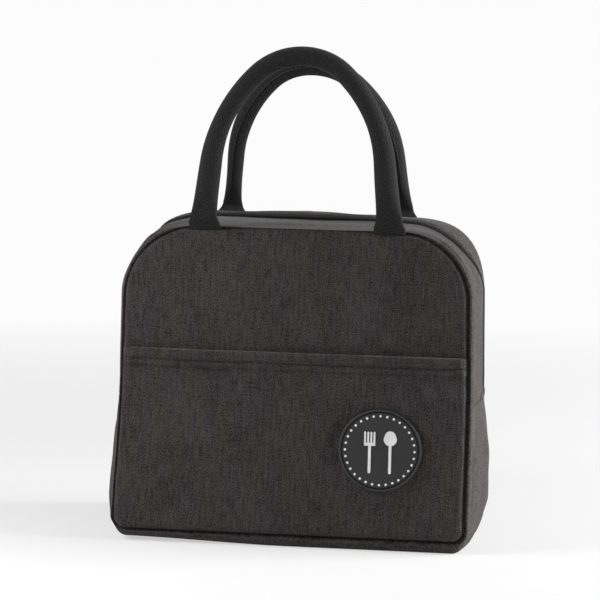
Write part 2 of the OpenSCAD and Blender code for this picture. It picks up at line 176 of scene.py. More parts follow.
def volume(points, faces):
    """The volume inside the faces: a sixth of the sum of each triangle's triple product."""
    a, b, c, d = (points[faces[:, i]] for i in range(4))
    return float((np.cross(b, c) * a).sum() + (np.cross(c, d) * a).sum()) / 6


def facing_out(solid, inwards=False):
    """The same solid with every face turned so that it looks out, or in, for a cavity."""
    points, faces, marks = solid
    if (volume(points, faces) < 0) != inwards:
        faces, marks = faces[:, ::-1], marks[:, ::-1]
    return points, faces, marks


# %% [markdown]
# Many small repeated things, such as teeth and stitches, are one little solid put down at many
# places. Instances of one object could do that too, but here a row is one mesh. Array
# broadcasting moves all the copies at once.
# %% Repeat a small solid, and make Blender objects
def repeat(solid, places, axes):
    """One solid at many places: each point is place + x * first axis + y * second + z * third."""
    points, faces, marks = solid
    moved = places[:, None, :] + np.einsum("pk,nkc->npc", points, axes)
    jump = (np.arange(len(places)) * len(points))[:, None, None]
    return (moved.reshape(-1, 3), (faces[None] + jump).reshape(-1, 4),
            np.tile(marks, (len(places), 1, 1)))


ROD_SWEEP = math.radians(68)
ROD_TIP = 0.35


def rod(length, width, height, sides=6, rings=5):
    """A bar with round ends along X. Its rings are ellipses: at the angle a, which sweeps from
    end to end, the centre goes with sin(a) and the size with tip + (1 - tip) * sqrt(cos(a))."""
    sweep = np.linspace(-1, 1, rings) * ROD_SWEEP
    centre = np.sin(sweep) / math.sin(ROD_SWEEP) * length / 2
    size = ROD_TIP + (1 - ROD_TIP) * np.cos(sweep) ** 0.5
    turn = np.arange(sides) * 2 * np.pi / sides
    rings = np.stack([centre[:, None] + 0 * turn, size[:, None] * np.cos(turn) * width / 2,
                      size[:, None] * np.sin(turn) * height / 2], -1)
    return facing_out(tube(rings, centre, turn * width / 2))


SEWN_SHARP = 60


def piece(name, solids, finish, sharp=40):
    """A Blender object made of solids, smooth except along edges sharper than the angle in
    degrees. Soft rolled and round little things take SEWN_SHARP, and stay smooth."""
    solids = [solids] if isinstance(solids, tuple) else solids
    starts = np.cumsum([0] + [len(s[0]) for s in solids[:-1]])
    points = np.concatenate([s[0] for s in solids])
    faces = np.concatenate([s[1] + start for s, start in zip(solids, starts)])
    marks = np.concatenate([s[2] for s in solids])
    mesh = bpy.data.meshes.new(name)
    mesh.from_pydata(points.tolist(), [], faces.tolist())
    mesh.uv_layers.new(name="cloth").data.foreach_set("uv", marks.astype("f").ravel())
    mesh.shade_smooth()
    mesh.set_sharp_from_angle(angle=math.radians(sharp))
    mesh.materials.append(finish)
    made = bpy.data.objects.new(name, mesh)
    bpy.context.scene.collection.objects.link(made)
    print(f"{name}: {len(points)} points, {len(faces)} faces, "
          f"{volume(points, faces) * 1e6:.1f} cm3")
    return made


# %% [markdown]
# ## Shader helpers
# A finish is a Principled shader fed by a few procedural textures. These helpers add one node
# each, so that a finish below reads like a recipe. Values that are the same all over a surface
# are set on the shader's own sockets, and only what varies is linked.
# %% One call for each node
def plug(tree, socket, value):
    """Links a node's output to a socket, or sets the socket to a plain value."""
    if isinstance(value, bpy.types.NodeSocket):
        tree.links.new(value, socket)
    else:
        socket.default_value = value


def sums(tree, operation, *values):
    """One arithmetic node."""
    made = tree.nodes.new("ShaderNodeMath")
    made.operation = operation
    for socket, value in zip(made.inputs, values):
        plug(tree, socket, value)
    return made.outputs[0]


def place_on_cloth(tree):
    """The point on the cloth in metres: across and along the piece, from its UV map."""
    made = tree.nodes.new("ShaderNodeUVMap")
    made.uv_map = "cloth"
    return made.outputs["UV"]


def place_in_space(tree):
    """The point in the object's own space, in metres."""
    return tree.nodes.new("ShaderNodeTexCoord").outputs["Object"]


def grain(tree, place, scale_x, scale_y, detail=2.0, scale_z=0.0):
    """Soft noise with its own scale along each direction, in waves to the metre."""
    stretch = tree.nodes.new("ShaderNodeMapping")
    stretch.inputs["Scale"].default_value = (scale_x, scale_y, scale_z)
    plug(tree, stretch.inputs["Vector"], place)
    made = tree.nodes.new("ShaderNodeTexNoise")
    made.inputs["Scale"].default_value = 1.0
    made.inputs["Detail"].default_value = detail
    plug(tree, made.inputs["Vector"], stretch.outputs[0])
    return made.outputs["Fac"]


def split(tree, place):
    """The three coordinates of a point, each on its own."""
    made = tree.nodes.new("ShaderNodeSeparateXYZ")
    plug(tree, made.inputs[0], place)
    return made.outputs


def sine(tree, value, per_metre):
    """A wave: the sine of a value in metres times so many radians to the metre."""
    return sums(tree, "SINE", sums(tree, "MULTIPLY", value, per_metre))


def ramp(tree, factor, stops):
    """A colour that slides between two stops of (position, sRGB colour from 0 to 255)."""
    made = tree.nodes.new("ShaderNodeValToRGB")
    plug(tree, made.inputs[0], factor)
    for stop, (at, colour) in zip(made.color_ramp.elements, stops):
        stop.position = at
        stop.color = paint(colour)
    return made.outputs[0]


def paint(colour):
    """An sRGB colour of 0 to 255, or one grey, as the linear colour that Blender mixes: at most
    0.04045 it is divided by 12.92, and above that it is ((c + 0.055) / 1.055)^2.4."""
    three = np.array(colour if np.ndim(colour) else [colour] * 3, float) / 255
    linear = np.where(three <= 0.04045, three / 12.92, ((three + 0.055) / 1.055) ** 2.4)
    return (*linear.tolist(), 1.0)


def emboss(tree, shader, height, relief):
    """Feeds a height from 0 to 1 to the shader's normal, as relief of that real depth."""
    made = tree.nodes.new("ShaderNodeBump")
    made.inputs["Distance"].default_value = relief
    made.inputs["Strength"].default_value = 1.0
    plug(tree, made.inputs["Height"], height)
    tree.links.new(made.outputs[0], shader.inputs["Normal"])


def finish_named(name, **sockets):
    """A new material, its node tree and its shader, with plain values on the sockets."""
    made = bpy.data.materials.new(name)
    made.use_nodes = True
    shader = made.node_tree.nodes["Principled BSDF"]
    for socket, value in sockets.items():
        shader.inputs[socket.replace("_", " ")].default_value = value
    return made, made.node_tree, shader


# %% [markdown]
# ## The outer cloth: a heather weave
# The cloth is a fine plain weave of mottled yarn. Up close it is warp and weft crossing over
# and under; from a step away only the mottle shows, with faint streaks along the warp. Real
# threads could be modelled, but a wall would need a million of them. So the colour is noise
# stretched along each yarn direction plus a fine grain, and the relief is the product of two
# waves, which is high where a yarn comes over and low where it goes under.
# %% Outer cloth
WARP_SHARE, WEFT_SHARE, FINE_SHARE, MOTTLE_SHARE = 0.24, 0.12, 0.52, 0.12
FINE_ALONG = 1200
MOTTLE_WAVES, BUNDLE_WAVES = (34, 20), (130, 16)
TONE_FROM, TONE_TO = 0.39, 0.61
TINT_FROM, TINT_TO = 0.36, 0.64
WARM_YARN, COOL_YARN = (255, 253, 241), (250, 245, 255)
WEAVE_HEIGHT, FINE_HEIGHT = 0.2, 0.5
CLOTH_RELIEF = 0.18 * MM


def heather(name, dark, light, streaks=(560, 90, 90, 800, 1200), thread=0.36 * MM):
    """Plain-woven mottled cloth: streaks along warp and weft, fine grain and mottle, summed by
    their shares, and over-under relief, sin(across) * sin(along), plus the grain. The warp lies
    in bundles of slightly warmer and cooler yarn.

    The five streak numbers are waves to the metre: warp across and along, weft across and
    along, and the fine grain across."""
    made, tree, shader = finish_named(name, Roughness=0.95, Sheen_Weight=0.06,
                                      Sheen_Roughness=0.45, Specular_IOR_Level=0.2)
    place = place_on_cloth(tree)
    warp = grain(tree, place, *streaks[:2])
    weft = grain(tree, place, *streaks[2:4])
    fine = grain(tree, place, streaks[4], FINE_ALONG, 1.0)
    mottle = grain(tree, place, *MOTTLE_WAVES)
    mix = sums(tree, "MULTIPLY_ADD", warp, WARP_SHARE, sums(tree, "MULTIPLY", weft, WEFT_SHARE))
    mix = sums(tree, "MULTIPLY_ADD", fine, FINE_SHARE, mix)
    mix = sums(tree, "MULTIPLY_ADD", mottle, MOTTLE_SHARE, mix)
    colour = ramp(tree, mix, [(TONE_FROM, dark), (TONE_TO, light)])
    bundles = grain(tree, place, *BUNDLE_WAVES)
    yarn = ramp(tree, bundles, [(TINT_FROM, WARM_YARN), (TINT_TO, COOL_YARN)])
    tinted = tree.nodes.new("ShaderNodeVectorMath")
    tinted.operation = "MULTIPLY"
    tree.links.new(colour, tinted.inputs[0])
    tree.links.new(yarn, tinted.inputs[1])
    tree.links.new(tinted.outputs[0], shader.inputs["Base Color"])
    across, along = split(tree, place)[:2]
    per_metre = math.pi / thread
    over = sums(tree, "MULTIPLY", sine(tree, across, per_metre), sine(tree, along, per_metre))
    height = sums(tree, "MULTIPLY_ADD", over, WEAVE_HEIGHT,
                  sums(tree, "MULTIPLY", fine, FINE_HEIGHT))
    emboss(tree, shader, height, CLOTH_RELIEF)
    return made


outer_cloth = heather("outer_cloth", (19, 18, 18), (73, 70, 70))
gusset_cloth = heather("gusset_cloth", (22, 21, 21), (74, 71, 71), (250, 190, 85, 720, 430))

# %% [markdown]
# ## Lining, foam, tapes and threads
# The foil lining is an embossed aluminium-coloured film, the foam a fine closed-cell sheet, and
# the binding a ribbed tape. Inside the bag they matter as much as the cloth does outside. An
# image could carry such patterns, but waves and cells draw them at their true size on every
# piece, with no file to load.
# %% Lining, foam, binding, zip tape, coil and thread
def foil(diamond=5 * MM, creases=70, pressed=0.35, relief=0.35 * MM):
    """Aluminium film on foam: a soft metallic shine, creases, and a small pressed diamond
    pattern, which is the higher of two waves that slant to the right and to the left."""
    made, tree, shader = finish_named("foil_lining", Metallic=0.85, Roughness=0.34)
    place = place_on_cloth(tree)
    across, along = split(tree, place)[:2]
    slants = [sine(tree, sums(tree, way, across, along), 2 * math.pi / diamond)
              for way in ("ADD", "SUBTRACT")]
    crease = grain(tree, place, creases, creases, 4.0)
    height = sums(tree, "MULTIPLY_ADD", sums(tree, "MAXIMUM", *slants), pressed, crease)
    tone = ramp(tree, crease, [(0.3, (176, 178, 182)), (0.7, (214, 215, 218))])
    tree.links.new(tone, shader.inputs["Base Color"])
    emboss(tree, shader, height, relief)
    return made


def foam(cells_per_metre=900, relief=0.25 * MM):
    """Closed-cell foam: off-white with fine round cells."""
    made, tree, shader = finish_named("foam_sheet", Roughness=0.9, Specular_IOR_Level=0.3)
    place = place_in_space(tree)
    cells = tree.nodes.new("ShaderNodeTexVoronoi")
    cells.inputs["Scale"].default_value = cells_per_metre
    plug(tree, cells.inputs["Vector"], place)
    tone = ramp(tree, cells.outputs["Distance"], [(0.0, (206, 204, 198)), (0.7, (232, 231, 227))])
    tree.links.new(tone, shader.inputs["Base Color"])
    emboss(tree, shader, cells.outputs["Distance"], relief)
    return made


def ribbed(name, dark, light, rib, sheen=0.15, yarns=900, rib_height=0.35, relief=0.2 * MM):
    """Tape woven with ribs across its length: a wave along the tape, and a little yarn grain."""
    made, tree, shader = finish_named(name, Roughness=0.85, Sheen_Weight=sheen,
                                      Specular_IOR_Level=0.3)
    place = place_on_cloth(tree)
    wave = sine(tree, split(tree, place)[0], 2 * math.pi / rib)
    yarn = grain(tree, place, yarns, yarns)
    height = sums(tree, "MULTIPLY_ADD", wave, rib_height, yarn)
    tone = ramp(tree, yarn, [(0.3, dark), (0.7, light)])
    tree.links.new(tone, shader.inputs["Base Color"])
    emboss(tree, shader, height, relief)
    return made


def nylon(name, dark, light, roughness, flecks=600, relief=0.05 * MM):
    """Moulded or spun nylon: smooth and slightly glossy, with a soft variation in tone."""
    made, tree, shader = finish_named(name, Roughness=roughness, Specular_IOR_Level=0.5)
    place = place_in_space(tree)
    tone = grain(tree, place, flecks, flecks, 2.0, flecks)
    tree.links.new(ramp(tree, tone, [(0.35, dark), (0.65, light)]), shader.inputs["Base Color"])
    emboss(tree, shader, tone, relief)
    return made


foil_lining = foil()
foam_sheet = foam()
seam_binding = ribbed("seam_binding", 20, 34, 1.1 * MM)
zip_cloth = ribbed("zip_cloth", 10, 20, 0.9 * MM, 0.0)
coil_nylon = nylon("coil_nylon", 9, 20, 0.5)
thread = nylon("thread", 22, 40, 0.6)

# %% [markdown]
# ## Webbing, rope, badge rubber and metal
# The handles are herringbone webbing: ribs that slant one way in one column and the other way
# in the next, so the columns meet in a row of V shapes. Folding the coordinate across the
# webbing back and forth, and adding it to the coordinate along it, draws exactly that. The ribs
# could be modelled, but they are only a few tenths of a millimetre high, so a bump is enough.
# The rope is noise drawn out along its strands, the badge's rubber is satin with faint wear,
# and the plated metal gets its life from brush marks in its roughness.
# %% Herringbone webbing, rope, rubber and metal
RIB_HEIGHT, RIB_TONE = 0.4, 0.12


def herringbone(name, dark, light, column=3.6 * MM, rib=2.7 * MM, slant=2.1, relief=0.3 * MM):
    """Ribs at a slant that flips from column to column: sin(along + slant * folded across)."""
    made, tree, shader = finish_named(name, Roughness=0.88, Sheen_Weight=0.05,
                                      Sheen_Roughness=0.4, Specular_IOR_Level=0.25)
    place = place_on_cloth(tree)
    along, across = split(tree, place)[:2]
    folded = sums(tree, "PINGPONG", across, column)
    rise = sums(tree, "MULTIPLY_ADD", folded, slant, along)
    wave = sine(tree, rise, 2 * math.pi / rib)
    yarn = grain(tree, place, 700, 700, 3.0)
    height = sums(tree, "MULTIPLY_ADD", wave, RIB_HEIGHT, yarn)
    tone = sums(tree, "MULTIPLY_ADD", wave, RIB_TONE, yarn)
    tone = ramp(tree, tone, [(0.35, dark), (0.75, light)])
    tree.links.new(tone, shader.inputs["Base Color"])
    emboss(tree, shader, height, relief)
    return made


def rope_cord(name, dark, light, hairs=(160, 2600), relief=0.12 * MM):
    """Twisted polyester: fine filaments that follow the strand."""
    made, tree, shader = finish_named(name, Roughness=0.7, Sheen_Weight=0.2)
    place = place_on_cloth(tree)
    hair = grain(tree, place, *hairs)
    tree.links.new(ramp(tree, hair, [(0.3, dark), (0.7, light)]), shader.inputs["Base Color"])
    emboss(tree, shader, hair, relief)
    return made


def rubber(name, dark, light, roughness, mould=2200, patches=90, relief=0.04 * MM):
    """Soft moulded rubber: satin, with a very fine mould texture and a little wear in tone."""
    made, tree, shader = finish_named(name, Roughness=roughness, Specular_IOR_Level=0.45)
    place = place_in_space(tree)
    fine = grain(tree, place, mould, mould, 2.0, mould)
    wear = grain(tree, place, patches, patches, 3.0, patches)
    tone = ramp(tree, sums(tree, "MULTIPLY_ADD", fine, 0.3, sums(tree, "MULTIPLY", wear, 0.7)),
                [(0.35, dark), (0.7, light)])
    tree.links.new(tone, shader.inputs["Base Color"])
    emboss(tree, shader, fine, relief)
    return made


def plated(name, dark=58, light=92, brushed=(300, 2600), sheen=(0.22, 0.16), relief=0.03 * MM):
    """Black nickel plating: a dark metal with faint brush marks and softly worn highlights. Its
    roughness is sheen[0] times the brush marks plus sheen[1]."""
    made, tree, shader = finish_named(name, Metallic=1.0)
    place = place_in_space(tree)
    brush = grain(tree, place, brushed[0], brushed[0], 3.0, brushed[1])
    tree.links.new(ramp(tree, brush, [(0.3, dark), (0.7, light)]), shader.inputs["Base Color"])
    rough = sums(tree, "MULTIPLY_ADD", brush, *sheen)
    tree.links.new(rough, shader.inputs["Roughness"])
    emboss(tree, shader, brush, relief)
    return made


webbing = herringbone("webbing", 9, 32)
rope_core = rope_cord("rope_core", (150, 147, 140), (206, 203, 196))
badge_rubber = rubber("badge_rubber", 14, 21, 0.55)
badge_white = rubber("badge_white", 216, 236, 0.55)
black_nickel = plated("black_nickel")

# %% [markdown]
# ## The panels: a D outline with a soft face
# A panel's rows are level lines, and each row is as wide as the outline is at its height. The
# rows crowd together at the corners and the columns at the edges, because that is where the
# face rolls into the seam. The face is nearly flat, drops into a narrow groove at the seam, and
# is as thin as the squeezed foam there. A filled and carried bag doesn't keep its pattern's
# outline: it is a little wider below, slumps to one side, and hangs a little on top. Sculpting
# or a cloth simulation could give such a face. A formula over a grid is chosen because it meets
# the next piece exactly at the seam, and comes out the same every time.
# %% Outline of a panel
BOTTOM_FLARE = 1.018
TOP_NARROWING = 0.045
NARROWING_POWER = 0.75
LEAN = 2.7 * MM
LEAN_BELOW = 110 * MM
SAG = 2.2 * MM
SAG_ABOVE = 125 * MM


def smooth(t):
    """0 below 0, 1 above 1, and 3t^2 - 2t^3 between."""
    t = np.clip(t, 0, 1)
    return t * t * (3 - 2 * t)


def flare(z):
    """How much wider than its pattern the bag stands, from the floor to the top, where the
    share of the height is t: BOTTOM_FLARE - TOP_NARROWING * t^NARROWING_POWER."""
    t = np.clip((z - seam_low) / (seam_top - seam_low), 0, 1)
    return BOTTOM_FLARE - TOP_NARROWING * t ** NARROWING_POWER


def stand(x, z):
    """Where a point of the pattern stands: flared, and slumped a little to the left below."""
    return x * flare(z) - LEAN * (1 - smooth(z / LEAN_BELOW))


def settle(z):
    """The height of a point of the pattern: the top hangs a little below its cut height."""
    return z - SAG * smooth((z - SAG_ABOVE) / (seam_top - SAG_ABOVE))


def top_corner(x):
    """The radius of the top corner on the side of x: handling made the left one rounder."""
    return np.where(x < 0, TOP_R_LEFT, TOP_R_RIGHT)


def half_width(z, side):
    """Half the outline's width: W - r + sqrt(r^2 - rise^2) on each corner's quarter circle."""
    r = top_corner(side)
    rise = np.clip(z - (seam_top - r), 0, r)
    sink = np.clip(seam_low + BOTTOM_R - z, 0, BOTTOM_R)
    return (half_w - r + np.sqrt(r ** 2 - rise ** 2)
            - BOTTOM_R + np.sqrt(BOTTOM_R ** 2 - sink ** 2))


def edge_distance(x, z):
    """How far a point is inside the outline: the distance to a rectangle with round corners."""
    middle = (seam_low + seam_top) / 2
    r = np.where(z > middle, top_corner(x), BOTTOM_R)
    a = np.abs(x) - (half_w - r)
    b = np.abs(z - middle) - ((seam_top - seam_low) / 2 - r)
    return np.maximum(r - np.hypot(np.maximum(a, 0), np.maximum(b, 0))
                      - np.minimum(np.maximum(a, b), 0), 0)


def waves(a, b, seed, size, shortest=32 * MM, longest=95 * MM, count=9):
    """Soft unevenness of about that size: a sum of sine waves with random lengths, directions
    and starts, each as high as its length's share of the longest, over sqrt(count / 2)."""
    draw = np.random.default_rng(seed)
    length = draw.uniform(shortest, longest, count)
    way = draw.uniform(0, 2 * np.pi, count)
    start = draw.uniform(0, 2 * np.pi, count)
    phase = (a[..., None] * np.cos(way) + b[..., None] * np.sin(way)) * 2 * np.pi / length + start
    return size * (np.sin(phase) * (length / longest)).sum(-1) / math.sqrt(count / 2)


# %% [markdown]
# The seam pulls the wall in. The groove is a bell curve about the seam, deep where the padding
# stands high beside it, and shallow where the cloth is pulled tight: on the left, and in the
# middle of the top, between the handles.
# %% The groove and the squeezed wall
SEAM_DEPTH = 4.0 * MM
SEAM_REACH, NARROWEST = 1.4 * MM, 0.5
LEFT_FROM, LEFT_OVER, LEFT_LESS = 82 * MM, 22 * MM, 0.5
TAUT_REACH, TAUT_LESS = 44 * MM, 0.55
EVEN_BELOW = 20 * MM
FULL_THICKNESS_AT = 13 * MM
PANEL_SQUEEZE, STRIP_SQUEEZE = 0.35, 0.12


def seam_share(x, z):
    """How deep the groove is, as a share of SEAM_DEPTH: full near the floor, and above it 1,
    less LEFT_LESS on the left, less TAUT_LESS * exp(-(x / reach)^4) in the middle."""
    left = smooth((-x - LEFT_FROM) / LEFT_OVER)
    above = 1 - LEFT_LESS * left - TAUT_LESS * np.exp(-(x / TAUT_REACH) ** 4)
    return 1 - (1 - above) * smooth((z - seam_low) / EVEN_BELOW)


def seam_groove(share, d, reach):
    """The groove's depth at a distance from the seam: a bell curve, narrower where shallow."""
    narrow = NARROWEST + (1 - NARROWEST) * share
    return SEAM_DEPTH * share * np.exp(-(d / reach / narrow) ** 2)


def squeeze(d, least):
    """The share of its thickness that the wall keeps at a distance from the seam."""
    return least + (1 - least) * smooth(d / FULL_THICKNESS_AT)


# %% [markdown]
# The wall's layers all follow one relief. A layer is the slice between two depths, measured
# from the outer face, so cloth, foam and lining lie on each other like the pages of a book. One
# thick wall would look the same when shut, but its layers couldn't be taken out and used.
# %% Grids of a panel
TOP_ROWS, MIDDLE_ROWS, BOTTOM_ROWS = 46, 64, 26
PANEL_COLUMNS = 124
ROW_DIGITS, SAME_ROW = 7, 1e-7
CROWN, CROWN_REACH = 0.9 * MM, 60 * MM
PUCKER, PUCKER_REACH, PUCKER_FROM = 0.22 * MM, 5 * MM, 2 * MM
SLACK, SLACK_FROM = 0.45 * MM, 25 * MM
# the shortest and the longest wave, and where it isn't 9, how many
PUCKER_WAVES = 8 * MM, 15 * MM, 12


def panel_rows(high, extra=()):
    """Heights of the rows from the floor's seam up: crowded by angle in the corners, even
    between them."""
    turn = np.linspace(0, np.pi / 2, TOP_ROWS)
    top = seam_top - TOP_R_LEFT + TOP_R_LEFT * np.sin(turn)
    turn = np.linspace(0, np.pi / 2, BOTTOM_ROWS)
    bottom = seam_low + BOTTOM_R - BOTTOM_R * np.cos(turn)
    middle = np.linspace(seam_low + BOTTOM_R, seam_top - TOP_R_LEFT, MIDDLE_ROWS)
    z = np.unique(np.round(np.concatenate([bottom, middle, top, extra]), ROW_DIGITS))
    return z[z <= high + SAME_ROW]


def panel_columns(count, z):
    """The places across each row: sin(t) of half the width, which crowds them at both edges."""
    share = np.sin(np.linspace(-np.pi / 2, np.pi / 2, count))[None, :]
    return share * half_width(z, share)


def panel_relief(x, z, seed):
    """How far the cloth lies behind its flat plane: groove at the seam, less crown and waves."""
    d = edge_distance(x, z)
    groove = seam_groove(seam_share(x, z), d, SEAM_REACH)
    crown = CROWN * (1 - (x / half_w) ** 2) * smooth(d / CROWN_REACH)
    pucker = (waves(x, z, seed + 1, PUCKER, *PUCKER_WAVES)
              * np.exp(-d / PUCKER_REACH) * smooth(d / PUCKER_FROM))
    slack = waves(x, z, seed, SLACK) * smooth(d / SLACK_FROM)
    return groove - crown + pucker + slack


def panel_layer(name, side, seed, start, end, finish):
    """One layer of a panel between two depths; side is -1 for the front and 1 for the back."""
    z = panel_rows(seam_top)[:, None]
    x = panel_columns(PANEL_COLUMNS, z)
    relief = panel_relief(x, z + 0 * x, seed)
    kept = squeeze(edge_distance(x, z + 0 * x), PANEL_SQUEEZE)
    faces = [side * (face_y - relief - depth * kept) for depth in (start, end)]
    grids = [np.stack([stand(x, z), y, settle(z) + 0 * x], -1) for y in faces]
    return piece(name, facing_out(shell(*grids, x, z)), finish)


def bend_with_mouth(made):
    """Bakes the piece's transform into its points."""
    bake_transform(made)


WALL = CLOTH_T + FOAM_T + LINING_T
# each layer: its name, where it starts and ends in the wall, its finish, its material slot, and
# the words that the CAD nodes have for it in a panel and in a gusset
LAYERS = (("cloth", 0, CLOTH_T, outer_cloth, "outer_fabric", "panel", ""),
          ("padding", CLOTH_T, CLOTH_T + FOAM_T, foam_sheet, "foam", "foam", "_foam"),
          ("foil", CLOTH_T + FOAM_T, WALL, foil_lining, "lining", "lining", "_lining"))


def panel(side, word, seed):
    """Cloth, foam and lining of one panel."""
    for layer, start, end, finish, slot, node, _ in LAYERS:
        made = panel_layer(f"{word}_face_{layer}", side, seed, start, end, finish)
        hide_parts(f"{word}_{node}_lower", f"{word}_{node}_upper")
        bend_with_mouth(made)


FRONT_SEED = 11
panel(-1, "front", FRONT_SEED)
panel(1, "back", seed=23)

# %% [markdown]
# ## The gussets: strips that run round the bag
# A gusset is sewn along the panels' outline. Seen across, it rises out of the seam groove,
# rounds over a padded rim and runs flat, slightly crowned, to the other side. Seen along, it
# follows the outline. So its surface is a function of two parameters: the place along the
# outline, and the place across. One strip goes under the bag, and two go over it, with the zip
# between them. A curve with a bevel could sweep such a strip, but would keep one profile all
# the way, and this one changes from the legs to the corners and the top.
# %% Path along the outline
LEG_CROWDING = 1.8


def running(steps):
    """The running total of the steps, from 0."""
    return np.concatenate([[0], np.cumsum(steps)])


def half_path(side, up, legs, arcs, across):
    """One half of a strip's seam line, from its fold to the middle: x, z, nx, nz.

    A straight leg with its points crowded to the fold, a quarter circle and a straight
    stretch; (nx, nz) points out of the bag."""
    r, seam = (float(top_corner(side)), seam_top) if up > 0 else (BOTTOM_R, seam_low)
    corner = seam - up * r
    leg = fold_z + (corner - fold_z) * np.linspace(0, 1, legs) ** LEG_CROWDING
    turn = np.linspace(0, np.pi / 2, arcs)[1:]
    flat = np.linspace(half_w - r, 0, across)[1:]
    x = np.concatenate([0 * leg + half_w, half_w - r + r * np.cos(turn), flat])
    z = np.concatenate([leg, corner + up * r * np.sin(turn), 0 * flat + seam])
    nx = np.concatenate([0 * leg + 1, np.cos(turn), 0 * flat])
    nz = np.concatenate([0 * leg, up * np.sin(turn), 0 * flat + up])
    return side * x, z, side * nx, nz


def strip_path(up, legs=46, arcs=56, across=60):
    """The seam line of a strip, from the left fold over the top (up 1) or under the floor (-1)
    to the right fold, and the length along it."""
    halves = half_path(-1, up, legs, arcs, across), half_path(1, up, legs, arcs, across)
    x, z, nx, nz = (np.concatenate([a[:-1], b[::-1]]) for a, b in zip(*halves))
    return x, z, nx, nz, running(np.hypot(np.diff(x), np.diff(z)))


print("outline over the top:", round(strip_path(1)[4][-1] / MM), "mm")

# %% [markdown]
# Three numbers shape the section at each place along the path: how far the padded rim stands
# out of the seam, how deep it rolls in, and how far the strip's middle stands out. Use has made
# the two sides of the bag different. On the left the corner is pushed in with a puff above it,
# and the zip is level along the leg, because its slider runs there on a straight line. On the
# right the belly swells. Where two values stand in brackets, they are for left and right. The
# corner's numbers go by nz, which is 0 on the leg, 1 on top and 0.7 halfway round.
# %% Rim and swell of the strips
TOP_RIM, TOP_RIM_IN = 1.5 * MM, 14.0 * MM
LEG_RIM, LEG_RIM_IN = (2.3 * MM, 3.4 * MM), 5.0 * MM
CORNER_RIM = (3.0 * MM, 4.0 * MM)
CORNER_SWELL = (5.2 * MM, 2.4 * MM)
LEG_SWELL_TO = (0.5, 0.85)
TOP_SWELL_FROM, TOP_SWELL_OVER = 0.82, 0.18
CORNER_PUFF, PUFF_AT, PUFF_REACH = 1.9 * MM, 0.8, 0.13
TOP_X = np.array([-76, -62, -40, -20, 30, 46, 58, 76]) * MM
TOP_SWELL = np.array([4.0, 4.3, 4.2, 4.2, 4.3, 4.1, 3.3, 2.6]) * MM
TOP_AVERAGE = np.linspace(-8 * MM, 8 * MM, 9)
HUMP_REACH = 46 * MM
RIGHT_SWELL = 6.9 * MM
BELLY_SWELL = 12.4 * MM
BELLY_FROM, BELLY_FULL, BELLY_TO = 9 * MM, 28 * MM, 50 * MM
FLOOR_RIM, FLOOR_RIM_IN = (6.4 * MM, 7.9 * MM), (14 * MM, 6 * MM)
FLOOR_CORNER_DIP = (2.2 * MM, 1.2 * MM)
TAPE_TOP = 1.4 * MM
TAPE_BOTTOM = 1.9 * MM
# the coil lies between the slider's two plates, so its tape lies on the inner plate
SLIDER_TO_TAPE = 1.5 * MM
zip_tape_x = -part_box("zip_slider")[1].x + SLIDER_TO_TAPE


def fold_swell(x, z):
    """How far the strip's middle stands out on a leg beside the zip."""
    return np.where(x < 0, zip_tape_x + TAPE_TOP + stand(x, z), RIGHT_SWELL)


def left_or_right(x, pair):
    """The first of two values on the left of the bag, and the second on the right."""
    return np.where(x < 0, *pair)


def hump(x):
    """1 in the middle between the handles, where the zip stands highest, and 0 beside them."""
    return np.exp(-(x / HUMP_REACH) ** 2)


def top_swell(x):
    """How far the middle of the top stands out: straight between set places, then averaged."""
    return np.interp(x[..., None] + TOP_AVERAGE, TOP_X, TOP_SWELL).mean(-1)


def over_the_bag(x, z, nx, nz):
    """Rim height, middle height and rim depth over the top: each slides from the leg's value
    to the corner's, which is full where (2 nx nz)^2 is 1, and on to the top's."""
    level, bend = nz ** 2, (2 * nx * nz) ** 2
    leg_rim = left_or_right(x, LEG_RIM)
    rim = leg_rim + (TOP_RIM - leg_rim) * level
    rim = rim + (left_or_right(x, CORNER_RIM) - (leg_rim + TOP_RIM) / 2) * bend
    corner = left_or_right(x, CORNER_SWELL)
    on_leg = 1 - smooth(nz / left_or_right(x, LEG_SWELL_TO))
    swell = corner + (fold_swell(x, z) - corner) * on_leg
    swell = swell + (top_swell(x) - corner) * smooth((nz - TOP_SWELL_FROM) / TOP_SWELL_OVER)
    puff = CORNER_PUFF * (x < 0) * np.exp(-((nz - PUFF_AT) / PUFF_REACH) ** 2)
    return rim + puff, swell + puff, LEG_RIM_IN + (TOP_RIM_IN - LEG_RIM_IN) * level ** 2


def under_the_bag(x, z, nx, nz):
    """The same three under the floor. The floor's own values slide from the left to the right,
    and the middle swells from strip_out at the floor to the belly and back to the fold's."""
    level, bend = nz ** 2, (2 * nx * nz) ** 2
    leg_rim = left_or_right(x, LEG_RIM)
    right = smooth((x + half_w) / half_w)
    floor_rim, floor_in = (a + (b - a) * right for a, b in (FLOOR_RIM, FLOOR_RIM_IN))
    rim = leg_rim + (floor_rim - leg_rim) * level - left_or_right(x, FLOOR_CORNER_DIP) * bend
    rising = smooth((z - BELLY_FROM) / (BELLY_FULL - BELLY_FROM))
    belly = strip_out + (BELLY_SWELL - strip_out) * rising
    at_fold = fold_swell(x, fold_z + 0 * z)
    swell = belly + (at_fold - belly) * smooth((z - BELLY_TO) / (fold_z - BELLY_TO))
    return rim, swell, LEG_RIM_IN + (floor_in - LEG_RIM_IN) * level


def rim_and_swell(path, up):
    """The rim's height, the middle's height and the rim's depth, at each place of the path."""
    return (over_the_bag if up > 0 else under_the_bag)(*path[:4])


# %% [markdown]
# Across the strip, a quarter ellipse makes the rim and a straight stretch the rest. Here both
# are written for every place along the path at once, so the rim may change its size on the way.
# %% Section across the path
RIM_STEPS, FLAT_STEPS = 20, 30
